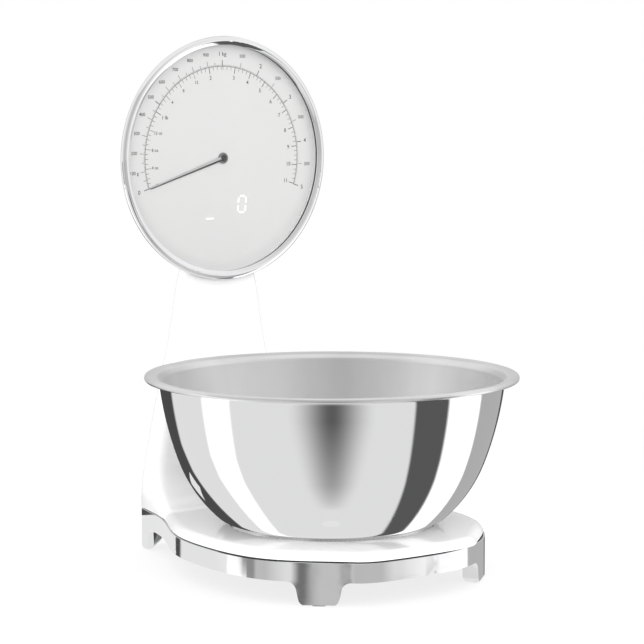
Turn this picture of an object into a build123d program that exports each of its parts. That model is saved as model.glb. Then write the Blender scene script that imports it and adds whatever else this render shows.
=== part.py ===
"""Kitchen scale with a round dial head on a sweeping column, and a loose steel bowl.

Lengths are millimetres and +Z is up. The scale is drawn about the axis of its bowl, with the front at -Y,
and every part is then moved so that the origin lies on the table below the middle of the whole object.
"""
from build123d import *
from math import asin, cos, radians, sin, sqrt
import os

# ------------------------------------------------------------------ driving dimensions
# whole object
REAR_Y = 160.0                # rear edge of the base, measured from the bowl axis
BOWL_RIM_R = 129.0
FRAME_SHIFT_Y = (BOWL_RIM_R - REAR_Y) / 2

# height levels
LEG_BOTTOM_Z = 0.5            # the rubber pads stand out below this
SKIRT_LOW_Z = 16.2
FLOOR_LOW_Z = 16.8
FLOOR_TOP_Z = 19.2
LEDGE_LOW_Z = 27.0
SKIRT_TOP_Z = 29.0
SEAM_Z = 30.2
COVER_TOP_Z = 37.6
PLATE_TOP_Z = 38.6

# painted casting: base cover and column in one piece
WALL = 2.6
CAVITY_INSET = 4.0
CAVITY_SIDE = 5.6
CAVITY_ROOF_Z = 32.5
CROWN_R = 2600.0              # gentle crown of the cover, across and along
COLUMN_FRONT_Y = 132.8
COLUMN_TOP_Z = 238.0
COLUMN_LEAN = 0.03            # the rear face leans forward by this much per millimetre of height
LEAN_START_Z = 30.0
SWEEP_R = 34.0                # concave sweep from the cover up into the column
EDGE_R = 8.0                  # rounding along the whole rim
REAR_CORNER_R = 9.0
PLAN_HALF = [(0, -104), (57.5, -89), (88.5, -57.5), (102, 0), (96, 50), (78.5, 90), (66, 122), (62, 140)]
PLAN_END_SLOPE = -0.22        # the flank still narrows where its curve ends
FLANK_TAPER = [(20, 1.0), (38, 1.0), (62, 0.956), (90, 0.864), (117, 0.765), (140, 0.672), (176, 0.56),
               (200, 0.489), (240, 0.4)]
PLATE_HOLE_R = 71.5
COLLAR_WALL = 2.0
COLLAR_LOW_Z = 32.4
BACK_OPENING = dict(low_z=52.0, high_z=192.0, low_half=44.0, high_half=18.5, corner_r=6.0)
BACK_GAP = 0.3
BACK_FRONT_Y = 149.0

# foot ring
SKIRT_WALL = 3.0
LEDGE_DEPTH = 7.0
LEG_DEPTH = 11.0
LEG_BOTTOM_HALF = 12.5
LEG_TOP_HALF = 16.0
LEG_CORNER_R = 5.0
LEG_ROOT_R = 7.0
LEGS = [(69.9, -79.8, -48.8), (-69.9, -79.8, -131.2), (56.9, 157.2, 45.0), (-56.9, 157.2, 135.0)]
PAD_LENGTH = 9.0
PAD_WIDTH = 3.6
PAD_HEIGHT = 1.6

# fasteners
SCREW_R = 1.25
SCREW_HOLE_R = 1.32
BOSS_R = 4.0
HEAD_R = 2.9
COVER_BOSSES = [(62, -62, 34.6), (86, 20, 34.6), (52, 118, 38.6)]   # x, y and the height of the top
BACK_BOSSES = [(-34, 64), (34, 64), (0, 178)]

# weighing mechanism
CELL_LENGTH = 80.0
CELL_SIDE = 12.7
CELL_LOW_Z = 21.4
CELL_SCREW_Y = (20.0, 34.0)
CELL_SCREW_R = 2.0
PLATE_R = 70.0
PLATE_LIP = 1.6
SPIDER_LOW_Z = 34.6
SPIDER_TOP_Z = 37.0
SPIDER_RING_R = (53.0, 62.0)
SPIDER_ARM_HALF = 7.0
CELL_BORE_R = 4.4             # the two bores that let the bar bend
CELL_BORE_Y = 7.0
CELL_HEAD_R = 3.5

# batteries and their door
CELL_AAA_R = 5.15
CELL_AAA_LENGTH = 44.0
BAY_X = (16.4, 65.6)
BAY_Y = (-19.5, 15.5)
BAY_WALL = 1.2
BAY_TOP_Z = 31.2
DOOR_GAP = 0.4
DOOR_PIN_R = 0.7
DOOR_PIN_HOLE_R = 0.76
DOOR_PIN_ENDS = (BAY_Y[0] - 2.0, BAY_Y[1] + 2.0)
DOOR_HINGE_R = (FLOOR_TOP_Z - FLOOR_LOW_Z) / 2
DOOR_HINGE_X = BAY_X[1] - DOOR_GAP - DOOR_HINGE_R
DOOR_HINGE_Z = (FLOOR_LOW_Z + FLOOR_TOP_Z) / 2

# circuit board in the base, and the flat cable from it
MAIN_BOARD_X = (-62.0, -11.0)
MAIN_BOARD_Y = (18.0, 58.0)
MAIN_BOARD_Z = (22.6, 24.2)
RIBBON_X = (-19.0, -11.0)
RIBBON_Y = (141.2, 142.0)
RIBBON_BEND_R = 7.0

# bowl
BOWL_WALL = 1.0
BOWL_FLAT_R = 68.9
BOWL_ARCS = [(16.4, 41.7), (95.1, 69.3), (232.4, 83.2)]   # radius, and the slope in degrees where it ends
BOWL_ROLL_R = 1.9
BOWL_ROLL_Z = 138.4
BOWL_FLARE = 3.2

# dial head, drawn in its own frame and turned so that its axis lies along Y
HEAD_Z = 284.2
HEAD_RING_Y = 130.5
BEZEL_R = 88.2
BEZEL_LIP_R = 82.0
BEZEL_FRONT = (84.0, 127.8)    # radius and depth of the front edge, then of points on the round outside
BEZEL_SHOULDER = (87.0, 128.2)
BEZEL_FLANK = (87.35, 132.9)
BEZEL_BACK_R = 85.4
LENS_R = 84.0
LENS_Y = (129.7, 131.2)
FACE_R = 83.0
FACE_Y = (133.8, 134.6)
PAN_R = 83.2
PAN_FRONT_Y = 135.2
PAN_CROWN_R = 280.0
PAN_CENTRE_Y = 156.0 - PAN_CROWN_R
PAN_SHOULDER_R = 62.0
PAN_WALL = 2.4
PAN_BOSS_R = 3.2
TONGUE_R = (83.1, 84.25)
TONGUE_FRONT_Y = 132.2
CARRIER_R = 79.8
CARRIER_Y = (134.6, 136.2)
BOARD_Y = (139.4, 141.0)
BOARD_HALF_X = 36.0
BOARD_Z = (241.0, 302.0)
DISPLAY_X = (-19.0, 23.0)
DISPLAY_Z = (242.5, 258.0)
MOTOR_Y = (141.0, 150.0)
MOTOR_R = 13.5
MOTOR_FLANGE_HALF = 15.0
TOUCH_X = (-28.0, 28.0)
TOUCH_Y = (134.6, 135.0)
TOUCH_Z = (214.0, 236.0)
CARRIER_SCREWS = [(60.0 * sin(radians(a)), HEAD_Z + 60.0 * cos(radians(a))) for a in (0, 120, 240)]
DISPLAY_POSTS = [(x, z) for x in (-31.0, 31.0) for z in (246.0, 297.0)]
MOTOR_SCREWS = [(-11.5, HEAD_Z - 6.0), (11.5, HEAD_Z - 6.0)]
STRAP_Y = (143.0, 145.0)
STRAP_Z = (204.0, 263.0)
STRAP_HALF = 17.0
STRAP_HEAD_SCREWS = [(-12.0, 257.0), (12.0, 257.0)]
STRAP_NECK_SCREWS = [(-7.0, 214.0), (7.0, 214.0)]
SHAFT_R = 1.0
SHAFT_HOLE_R = 1.05
POINTER_LENGTH = 66.0
BLADE_ROOT = (3.2, 0.8)       # width and height of the roof-shaped blade at the hub, then at its tip
BLADE_TIP = (1.5, 0.45)
POINTER_REST_DEG = -108.0     # clockwise from straight up, seen from the front
HUB_R = 4.0
HUB_Y = (132.7, 133.4)
CAP_R = 2.1
CAP_FRONT_Y = 131.5


# ------------------------------------------------------------------ small helpers
def box(x, y, z):
    """A box from three (low, high) pairs."""
    size = [pair[1] - pair[0] for pair in (x, y, z)]
    middle = [(pair[0] + pair[1]) / 2 for pair in (x, y, z)]
    return Pos(*middle) * Box(*size)


def post(x, y, radius, z):
    """An upright cylinder between two heights."""
    return Pos(x, y, (z[0] + z[1]) / 2) * Cylinder(radius, z[1] - z[0])


def rod_y(x, z, radius, y):
    """A cylinder along Y between two depths."""
    return Pos(x, (y[0] + y[1]) / 2, z) * Rot(90, 0, 0) * Cylinder(radius, y[1] - y[0])


def rod_x(y, z, radius, x):
    """A cylinder along X between two ends."""
    return Pos((x[0] + x[1]) / 2, y, z) * Rot(0, 90, 0) * Cylinder(radius, x[1] - x[0])


def both_sides(points):
    """The points and their mirror images across the middle plane."""
    return [(side * x, *rest) for x, *rest in points for side in (1, -1)]


def upright_screw(x, y, head_low_z, tip_z, head_r=HEAD_R, head_height=1.4, shank_r=SCREW_R):
    """A screw driven upwards, its pan head at the bottom with a cross recess."""
    head = post(x, y, head_r, (head_low_z, head_low_z + head_height))
    shank = post(x, y, shank_r, (head_low_z + head_height, tip_z))
    return head + shank - cross_recess(head_r).locate(Location((x, y, head_low_z)))


def cross_recess(head_r, depth=0.7, width=0.7):
    """The cutter of a cross recess, centred on the origin."""
    long = head_r * 1.2
    return Box(long, width, 2 * depth) + Box(width, long, 2 * depth)


def screw_y(x, z, head_y, tip_y, head_r=2.4, head_height=1.4, shank_r=1.2):
    """A screw lying along Y, its head at head_y and its tip at tip_y."""
    way = 1 if tip_y > head_y else -1
    step = head_y + way * head_height
    head = rod_y(x, z, head_r, sorted((head_y, step)))
    shank = rod_y(x, z, shank_r, sorted((step, tip_y)))
    recess = Pos(x, head_y, z) * Rot(90, 0, 0) * cross_recess(head_r)
    return head + shank - recess


def head_revolve(face):
    """Revolve a profile drawn as (radius, depth) about the axis of the dial head."""
    return Pos(0, 0, HEAD_Z) * revolve(face, Axis.Y, 360)


def ring_y(inner_r, outer_r, y):
    """A flat ring about the axis of the dial head."""
    return rod_y(0, HEAD_Z, outer_r, y) - rod_y(0, HEAD_Z, inner_r, (y[0] - 1, y[1] + 1))


# ------------------------------------------------------------------ plan outline of the base
def plan_face(inset=0.0, taper=1.0, rear=REAR_Y):
    """The plan of the base as a face: a near circle in front that narrows through concave flanks to a
    straight rear edge. inset moves the outline inwards; taper narrows it across."""
    start, finish = (1, 0), (PLAN_END_SLOPE * taper, 1)
    nominal = Spline(*[(x * taper, y) for x, y in PLAN_HALF], tangents=[start, finish])
    points = []
    for x, y in PLAN_HALF:
        along = nominal.tangent_at(nominal.param_at_point((x * taper, y)))
        points.append((x * taper - inset * along.Y, y + inset * along.X))
    points[0] = (0, PLAN_HALF[0][1] + inset)

    radius = max(REAR_CORNER_R - inset, 2.0)
    along = Vector(*finish).normalized()
    outwards = Vector(along.Y, -along.X)
    end = Vector(*points[-1])
    run = (rear - inset - radius - end.Y - radius * along.X) / along.Y
    centre = end + along * run - outwards * radius
    bend = [centre + outwards * radius,
            centre + (outwards + Vector(0, 1)).normalized() * radius,
            centre + Vector(0, radius)]

    def mirrored(point):
        return (-point[0], point[1])

    bend = [(corner.X, corner.Y) for corner in bend]
    right = [Spline(*points, tangents=[start, finish]), Line(points[-1], bend[0]), ThreePointArc(*bend)]
    rear_edge = Line(bend[2], mirrored(bend[2]))
    left_points = [mirrored(point) for point in reversed(points)]
    left = [ThreePointArc(*[mirrored(point) for point in reversed(bend)]),
            Line(mirrored(bend[0]), left_points[0]),
            Spline(*left_points, tangents=[(finish[0], -finish[1]), start])]
    return Face(Wire([edge for piece in [*right, rear_edge, *left] for edge in piece.edges()]))


def plan_block(inset, z):
    """The plan outline as an upright block between two heights."""
    return Pos(0, 0, z[0]) * extrude(plan_face(inset), z[1] - z[0])


def plan_ring(outer_inset, inner_inset, z):
    """A wall that follows the plan outline between two insets and two heights."""
    return plan_block(outer_inset, z) - plan_block(inner_inset, (z[0] - 1, z[1] + 1))


# ------------------------------------------------------------------ painted casting
def rear_y(height):
    """The depth of the rear face at a height."""
    return REAR_Y - COLUMN_LEAN * max(0.0, height - LEAN_START_Z)


def flank_body():
    """The sides and back: the plan outline lofted upwards while it narrows."""
    sections = [Pos(0, 0, height) * plan_face(0, taper, rear_y(height)) for height, taper in FLANK_TAPER]
    return loft(sections)


def sweep_centre():
    """The centre (y, z) of the concave bend, which touches the crowned cover and the column's front."""
    y = COLUMN_FRONT_Y - SWEEP_R
    return y, COVER_TOP_Z - CROWN_R + sqrt((CROWN_R + SWEEP_R) ** 2 - y ** 2)


def front_body():
    """The visible front: a crowned strip swept back over the base, round a concave bend and up the column,
    with enough depth behind it to be cut by the flanks."""
    crown_z = COVER_TOP_Z - CROWN_R
    bend_y, bend_z = sweep_centre()
    start_y = -130.0
    share = CROWN_R / (CROWN_R + SWEEP_R)
    touch = (0, bend_y * share, crown_z + (bend_z - crown_z) * share)
    middle_y = (start_y + touch[1]) / 2
    on_crown = [(0, y, crown_z + sqrt(CROWN_R ** 2 - y ** 2)) for y in (start_y, middle_y)]
    cover = ThreePointArc(*on_crown, touch)
    sweep_middle = (0, bend_y + SWEEP_R * sin(radians(45)), bend_z - SWEEP_R * cos(radians(45)))
    foot = (0, COLUMN_FRONT_Y, bend_z)
    curve = ThreePointArc(touch, sweep_middle, foot)
    upright = Line(foot, (0, COLUMN_FRONT_Y, COLUMN_TOP_Z + 20))
    path = Wire([cover.edge(), curve.edge(), upright.edge()])

    half, depth = 130.0, 60.0
    sag = half ** 2 / 2 / CROWN_R
    plane = Plane(origin=on_crown[0], x_dir=(1, 0, 0), z_dir=cover % 0)
    inwards = -1 if plane.y_dir.Z > 0 else 1
    top = ThreePointArc((-half, inwards * sag), (0, 0), (half, inwards * sag))
    rest = Polyline((half, inwards * sag), (half, inwards * depth), (-half, inwards * depth),
                    (-half, inwards * sag))
    strip = Face(Wire([*top.edges(), *rest.edges()]))
    return sweep(plane * strip, path=path)


def casting_form():
    """The outer form of the casting as a solid, with its long rim rounded. Its two halves mirror each other."""
    form = flank_body() & front_body()
    form = form & box((-300, 300), (-300, 300), (FLANK_TAPER[0][0] + 2, 1000))
    form = form & box((-300, 300), (-300, 300), (-1000, COLUMN_TOP_Z))
    rim = []
    for edge in form.edges():
        ends_up = min((edge @ 0).Z, (edge @ 1).Z) > SEAM_Z
        if edge.geom_type == GeomType.BSPLINE and ends_up and edge.length > 20 and (edge @ 0.5).Y < 136:
            rim.append(edge)
    form = fillet(rim, EDGE_R)
    half = form & box((-300, 0), (-300, 300), (0, 300))
    half = half & box((-300, 10), (-300, 300), (SEAM_Z, 300))
    return half + mirror(half, Plane.YZ)


def cavity():
    """The hollow of the casting: a low space under the cover, and a narrowing one that follows the sweep
    up inside the column."""
    low_z, high_z = SEAM_Z - 4, COLUMN_TOP_Z + 1
    base = plan_block(CAVITY_INSET, (low_z, CAVITY_ROOF_Z))

    half = PLAN_HALF[-1][0]
    flank = [(half * taper - CAVITY_SIDE, z) for z, taper in FLANK_TAPER if low_z < z < high_z]
    flank = [(flank[0][0], low_z), *flank, (half * FLANK_TAPER[-1][1] - CAVITY_SIDE, high_z)]
    mirrored = [(-x, z) for x, z in reversed(flank)]
    front_view = make_face(Plane.XZ * Polyline(*flank, *mirrored, close=True))

    centre_y, centre_z = sweep_centre()
    radius = SWEEP_R + WALL
    bend = ThreePointArc((0, centre_y, centre_z - radius),
                         (0, centre_y + radius * sin(radians(45)), centre_z - radius * cos(radians(45))),
                         (0, centre_y + radius, centre_z))
    rest = Polyline((0, centre_y + radius, centre_z), (0, centre_y + radius, high_z),
                    (0, rear_y(high_z) - WALL, high_z), (0, rear_y(low_z) - WALL, low_z),
                    (0, centre_y, low_z), (0, centre_y, centre_z - radius))
    side_view = Face(Wire([*bend.edges(), *rest.edges()]))
    column = extrude(front_view, REAR_Y, dir=(0, 1, 0)) & extrude(side_view, half, both=True)
    return base + column


def back_opening(inset, y):
    """The rounded trapezoid in the rear of the column that its back cover fills."""
    low, high = BACK_OPENING["low_z"] + inset, BACK_OPENING["high_z"] - inset
    low_half, high_half = BACK_OPENING["low_half"] - inset, BACK_OPENING["high_half"] - inset
    outline = Polyline((-low_half, low), (low_half, low), (high_half, high), (-high_half, high), close=True)
    face = make_face(Plane.XZ * outline)
    face = fillet(face.vertices(), BACK_OPENING["corner_r"] - inset)
    return Pos(0, y[0], 0) * extrude(face, y[1] - y[0], dir=(0, 1, 0))


def body_parts(form, hollow):
    """The casting and the cover that closes the rear of its column."""
    opening = back_opening(0, (BACK_FRONT_Y, REAR_Y + 5))
    plate_hole = post(0, 0, PLATE_HOLE_R, (COLLAR_LOW_Z - 1, COVER_TOP_Z + 1))
    shell = form - [hollow, opening, plate_hole, *pan_envelope()]

    collar = post(0, 0, PLATE_HOLE_R + COLLAR_WALL, (COLLAR_LOW_Z, COLLAR_LOW_Z + 3)) - plate_hole
    bosses = [post(x, y, BOSS_R, (FLOOR_TOP_Z, top)) for x, y, top in both_sides(COVER_BOSSES)]
    bosses += [rod_y(x, z, BOSS_R, (COLUMN_FRONT_Y + 1.3, BACK_FRONT_Y + 2)) for x, z in BACK_BOSSES]
    bosses += [rod_y(x, z, 3.2, (STRAP_Y[1], rear_y(z) - 1.3)) for x, z in STRAP_NECK_SCREWS]
    holes = [post(x, y, SCREW_HOLE_R, (FLOOR_TOP_Z - 1, top - 2.4)) for x, y, top in both_sides(COVER_BOSSES)]
    holes += [rod_y(x, z, SCREW_HOLE_R, (COLUMN_FRONT_Y + 6, BACK_FRONT_Y + 5)) for x, z in BACK_BOSSES]
    holes += [rod_y(x, z, SCREW_HOLE_R, (STRAP_Y[0], STRAP_Y[1] + 6)) for x, z in STRAP_NECK_SCREWS]
    shell = shell + [collar, *bosses] - holes

    back_cover = (form & back_opening(BACK_GAP, (BACK_FRONT_Y, REAR_Y + 5))) - hollow
    clear = [rod_y(x, z, SCREW_HOLE_R + 0.3, (BACK_FRONT_Y, REAR_Y + 5)) for x, z in BACK_BOSSES]
    return shell, back_cover - clear


# ------------------------------------------------------------------ foot ring
def leg(x, y, heading):
    """One leg: a tapering block with a rounded foot, cut to the plan outline on its outside."""
    front = Polyline((-LEG_TOP_HALF, FLOOR_LOW_Z - 0.3), (-LEG_BOTTOM_HALF, LEG_BOTTOM_Z),
                     (LEG_BOTTOM_HALF, LEG_BOTTOM_Z), (LEG_TOP_HALF, FLOOR_LOW_Z - 0.3), close=True)
    front = make_face(front)
    low_corners = [v for v in front.vertices() if abs(v.Y - LEG_BOTTOM_Z) < 0.1]
    front = fillet(low_corners, LEG_CORNER_R)
    side = make_face(Polyline((2, FLOOR_LOW_Z - 0.3), (2, LEG_BOTTOM_Z), (-LEG_DEPTH, LEG_BOTTOM_Z),
                              (-LEG_DEPTH, FLOOR_LOW_Z - 0.3), close=True))
    side = Pos(-1, 0) * fillet([v for v in side.vertices() if abs(v.Y - LEG_BOTTOM_Z) < 0.1], LEG_CORNER_R)
    outwards = Vector(cos(radians(heading)), sin(radians(heading)))
    across = Vector(-outwards.Y, outwards.X)
    front_plane = Plane(origin=(x, y, 0), x_dir=across, z_dir=outwards)
    side_plane = Plane(origin=(x, y, 0), x_dir=outwards, z_dir=-across)
    front_solid = extrude(front_plane * front, 30, both=True)
    side_solid = extrude(side_plane * side, 30, both=True)
    return front_solid & side_solid & plan_block(0, (0, FLOOR_LOW_Z))


def leg_root(x, y, heading):
    """The part of the skirt that flows down into a leg, with a concave radius on each side."""
    reach = 60.0
    strip = make_face(Polyline((-reach, SKIRT_LOW_Z), (-LEG_TOP_HALF, SKIRT_LOW_Z), (-LEG_BOTTOM_HALF, 2),
                               (LEG_BOTTOM_HALF, 2), (LEG_TOP_HALF, SKIRT_LOW_Z), (reach, SKIRT_LOW_Z),
                               (reach, SKIRT_TOP_Z), (-reach, SKIRT_TOP_Z), close=True))
    inner = [v for v in strip.vertices() if abs(v.Y - SKIRT_LOW_Z) < 0.1 and abs(v.X) < reach - 1]
    strip = fillet(inner, LEG_ROOT_R)
    outwards = Vector(cos(radians(heading)), sin(radians(heading)))
    across = Vector(-outwards.Y, outwards.X)
    plane = Plane(origin=(x, y, 0), x_dir=across, z_dir=outwards)
    band = extrude(plane * strip, 30, both=True)
    window = extrude(plane * make_face(Polyline((-30, 1), (30, 1), (30, 20), (-30, 20), close=True)),
                     30, both=True)
    return band & window & plan_ring(0, SKIRT_WALL, (LEG_BOTTOM_Z + LEG_CORNER_R, SKIRT_LOW_Z + 2))


def pad_shape(x, y, heading, grow=0.0):
    """The outline of a rubber pad under a leg, a little inside its outer face."""
    outwards = Vector(cos(radians(heading)), sin(radians(heading)))
    centre = Vector(x, y) - outwards * (LEG_DEPTH / 2)
    stadium = SlotOverall(PAD_LENGTH + 2 * grow, PAD_WIDTH + 2 * grow)
    return Pos(centre.X, centre.Y, 0) * Rot(0, 0, heading + 90) * stadium


def foot_parts():
    """The plated ring with its four legs, and the four rubber pads let into the legs."""
    ring = plan_ring(0, SKIRT_WALL, (SKIRT_LOW_Z, SKIRT_TOP_Z))
    ring = ring + plan_ring(SKIRT_WALL - 0.5, LEDGE_DEPTH, (LEDGE_LOW_Z, SKIRT_TOP_Z))
    pads = []
    for place in LEGS:
        ring = ring + leg_root(*place) + leg(*place)
    for place in LEGS:
        pocket = Pos(0, 0, LEG_BOTTOM_Z - 1) * extrude(pad_shape(*place, grow=0.05),
                                                       PAD_HEIGHT - LEG_BOTTOM_Z + 1)
        ring = ring - pocket
        pads.append(extrude(pad_shape(*place), PAD_HEIGHT))
    return ring, Compound(pads)


# ------------------------------------------------------------------ bottom cover and battery door
def bottom_parts():
    """The floor pan with its rim and ribs, and the screws that pull the base together."""
    below, above = FLOOR_LOW_Z - 1, FLOOR_TOP_Z + 4
    floor = plan_block(SKIRT_WALL + 0.3, (FLOOR_LOW_Z, FLOOR_TOP_Z))
    rim = plan_ring(SKIRT_WALL + 0.3, SKIRT_WALL + 2.3, (FLOOR_TOP_Z - 0.1, LEDGE_LOW_Z))
    ribs = [box((-half, half), (y - 0.8, y + 0.8), (FLOOR_TOP_Z - 0.1, FLOOR_TOP_Z + 2.5))
            for y, half in ((-72, 66), (66, 78), (100, 62))]
    cuts = [box(BAY_X, BAY_Y, (below, above)),
            rod_y(DOOR_HINGE_X, DOOR_HINGE_Z, DOOR_PIN_HOLE_R, DOOR_PIN_ENDS),
            post(0, -CELL_SCREW_Y[1], CELL_SCREW_R + 0.05, (below, above))]
    screws = []
    for x, y, top in both_sides(COVER_BOSSES):
        cuts.append(post(x, y, SCREW_HOLE_R + 0.2, (below, above)))
        cuts.append(post(x, y, HEAD_R + 0.2, (below, FLOOR_LOW_Z + 1.6)))
        screws.append(upright_screw(x, y, FLOOR_LOW_Z + 0.2, top - 3.5))
    for y in CELL_SCREW_Y:
        cuts.append(post(0, y, CELL_SCREW_R + 0.1, (below, above)))
        cuts.append(post(0, y, CELL_HEAD_R + 0.2, (below, FLOOR_LOW_Z + 1.4)))
    return floor + [rim, *ribs] - cuts, Compound(screws)


def battery_parts():
    """The tray over the battery bay, three cells, their contacts and the hinged door."""
    outer = box((BAY_X[0] - BAY_WALL, BAY_X[1] + BAY_WALL), (BAY_Y[0] - BAY_WALL, BAY_Y[1] + BAY_WALL),
                (FLOOR_TOP_Z, BAY_TOP_Z + BAY_WALL))
    tray = outer - box(BAY_X, BAY_Y, (FLOOR_TOP_Z - 1, BAY_TOP_Z))
    middle_x, middle_y = sum(BAY_X) / 2, sum(BAY_Y) / 2
    cell_z = BAY_TOP_Z - 0.6 - CELL_AAA_R
    ends = (middle_x - CELL_AAA_LENGTH / 2, middle_x + CELL_AAA_LENGTH / 2)
    cells, contacts = [], []
    for number in (-1, 0, 1):
        y = middle_y + number * (2 * CELL_AAA_R + 0.9)
        can = rod_x(y, cell_z, CELL_AAA_R, (ends[0], ends[1] - 1.2))
        cells.append(can + rod_x(y, cell_z, 1.9, (ends[1] - 1.3, ends[1])))
        for side, wall_x in ((-1, BAY_X[0]), (1, BAY_X[1])):
            plate_x = sorted((wall_x, wall_x - side * 0.5))
            plate = box(plate_x, (y - 4, y + 4), (cell_z - 4, cell_z + 4))
            end_x = ends[0] if side < 0 else ends[1]
            spring = rod_x(y, cell_z, 2.6, sorted((wall_x - side * 0.5, end_x + side * 0.1)))
            contacts.append(plate + spring)

    door_x = (BAY_X[0] + DOOR_GAP, DOOR_HINGE_X)
    door_y = (BAY_Y[0] + DOOR_GAP, BAY_Y[1] - DOOR_GAP)
    door = box(door_x, door_y, (FLOOR_LOW_Z, FLOOR_TOP_Z))
    door = door + rod_y(DOOR_HINGE_X, DOOR_HINGE_Z, DOOR_HINGE_R, door_y)
    for y in (door_y[0] + 6, (door_y[0] + door_y[1]) / 2, door_y[1] - 6):
        door = door - box((door_x[0] + 4, door_x[0] + 9), (y - 4, y + 4), (FLOOR_LOW_Z - 1, FLOOR_LOW_Z + 0.8))
    pin_ends = (DOOR_PIN_ENDS[0] + 0.4, DOOR_PIN_ENDS[1] - 0.4)
    door = door + rod_y(DOOR_HINGE_X, DOOR_HINGE_Z, DOOR_PIN_R, pin_ends)
    return tray, Compound(cells), Compound(contacts), door


# ------------------------------------------------------------------ weighing mechanism
def weighing_parts():
    """The bar load cell, what it stands on, and the plate that it carries."""
    cell_z = (CELL_LOW_Z, CELL_LOW_Z + CELL_SIDE)
    half = CELL_SIDE / 2
    middle_z = sum(cell_z) / 2
    cell = box((-half, half), (-CELL_LENGTH / 2, CELL_LENGTH / 2), cell_z)
    for y in (-CELL_BORE_Y, CELL_BORE_Y):
        cell = cell - rod_x(y, middle_z, CELL_BORE_R, (-half - 1, half + 1))
    cell = cell - box((-half - 1, half + 1), (-CELL_BORE_Y, CELL_BORE_Y), (middle_z - 1.5, middle_z + 1.5))
    for y in CELL_SCREW_Y:
        for side in (-1, 1):
            cell = cell - post(0, side * y, CELL_SCREW_R + 0.1, (cell_z[0] - 1, cell_z[1] + 1))

    spacer = box((-10, 10), (14, 40), (FLOOR_TOP_Z, CELL_LOW_Z))
    for y in CELL_SCREW_Y:
        spacer = spacer - post(0, y, CELL_SCREW_R + 0.1, (FLOOR_TOP_Z - 1, CELL_LOW_Z + 1))
    cell_screws = [upright_screw(0, y, FLOOR_LOW_Z + 0.1, CELL_LOW_Z + 9, CELL_HEAD_R, 1.2, CELL_SCREW_R)
                   for y in CELL_SCREW_Y]
    stop = post(0, -CELL_SCREW_Y[1], CELL_SCREW_R, (FLOOR_LOW_Z + 0.4, CELL_LOW_Z - 0.6))

    inner_r, outer_r = SPIDER_RING_R
    spider = post(0, 0, outer_r, (SPIDER_LOW_Z, SPIDER_TOP_Z))
    spider = spider - post(0, 0, inner_r, (SPIDER_LOW_Z - 1, SPIDER_TOP_Z + 1))
    arm = box((-SPIDER_ARM_HALF, SPIDER_ARM_HALF), (-inner_r - 2, inner_r + 2), (SPIDER_LOW_Z, SPIDER_TOP_Z))
    for turn in (0, 60, 120):
        spider = spider + Rot(0, 0, turn) * arm
    spider = spider + box((-half, half), (-CELL_LENGTH / 2, -CELL_LENGTH / 2 + 26), (cell_z[1], SPIDER_LOW_Z + 1))
    plate_screws = []
    for y in CELL_SCREW_Y:
        spider = spider - post(0, -y, CELL_SCREW_R + 0.05, (SPIDER_LOW_Z - 1, SPIDER_TOP_Z + 1))
        spider = spider - post(0, -y, CELL_HEAD_R + 0.2, (SPIDER_TOP_Z - 1.4, SPIDER_TOP_Z + 1))
        head = post(0, -y, CELL_HEAD_R, (SPIDER_TOP_Z - 1.4, SPIDER_TOP_Z - 0.1))
        plate_screws.append(head + post(0, -y, CELL_SCREW_R, (CELL_LOW_Z + 3, SPIDER_TOP_Z - 1.3)))

    profile = Polyline((0, SPIDER_TOP_Z), (PLATE_R - PLATE_LIP, SPIDER_TOP_Z), (PLATE_R - PLATE_LIP, 34.8),
                       (PLATE_R, 34.8), (PLATE_R, PLATE_TOP_Z), (0, PLATE_TOP_Z), close=True)
    profile = make_face(profile)
    outer_corner = profile.vertices().sort_by_distance((PLATE_R, PLATE_TOP_Z))[0]
    plate = revolve(Plane.XZ * fillet(outer_corner, 1.0), Axis.Z, 360)
    return cell, spacer, Compound(cell_screws), stop, spider, Compound(plate_screws), plate


# ------------------------------------------------------------------ circuit board in the base, wiring
def main_board_parts():
    """The controller board on its four posts, what is soldered to it, and its screws."""
    board = box(MAIN_BOARD_X, MAIN_BOARD_Y, MAIN_BOARD_Z)
    corners = [(x, y) for x in (MAIN_BOARD_X[0] + 4, -24.0) for y in (MAIN_BOARD_Y[0] + 4, MAIN_BOARD_Y[1] - 4)]
    posts, screws = [], []
    for x, y in corners:
        board = board - post(x, y, 1.5, (MAIN_BOARD_Z[0] - 1, MAIN_BOARD_Z[1] + 1))
        posts.append(post(x, y, 3.0, (FLOOR_TOP_Z, MAIN_BOARD_Z[0])) - post(x, y, 1.2, (FLOOR_TOP_Z, 30)))
        screws.append(post(x, y, 2.4, (MAIN_BOARD_Z[1], MAIN_BOARD_Z[1] + 1.2))
                      + post(x, y, 1.1, (FLOOR_TOP_Z + 0.3, MAIN_BOARD_Z[1] + 0.1)))
    top = MAIN_BOARD_Z[1]
    chips = [box((-50, -38), (34, 46), (top, top + 1.4)), box((-34, -28), (24, 28), (top, top + 1.6)),
             box((-52, -44), (22, 26), (top, top + 2.2)),
             box(RIBBON_X, (MAIN_BOARD_Y[1] - 7, MAIN_BOARD_Y[1] - 1), (top, top + 3.0))]
    return board, Compound(posts), Compound(screws), Compound(chips)


def ribbon_cable():
    """The flat cable from the controller board along the base and up inside the column."""
    front, back = RIBBON_Y
    start_y = MAIN_BOARD_Y[1] - 1
    low_z = MAIN_BOARD_Z[1] + 0.6
    high_z = low_z + back - front
    top_z = BOARD_Z[0] + 0.6
    outline = Polyline((start_y, low_z), (back, low_z), (back, top_z), (front, top_z), (front, high_z),
                       (start_y, high_z), close=True)
    face = make_face(outline)
    face = fillet(face.vertices().sort_by_distance((back, low_z))[0], RIBBON_BEND_R)
    face = fillet(face.vertices().sort_by_distance((front, high_z))[0], RIBBON_BEND_R - back + front)
    return Pos(RIBBON_X[0], 0, 0) * extrude(Plane.YZ * face, RIBBON_X[1] - RIBBON_X[0])


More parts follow.
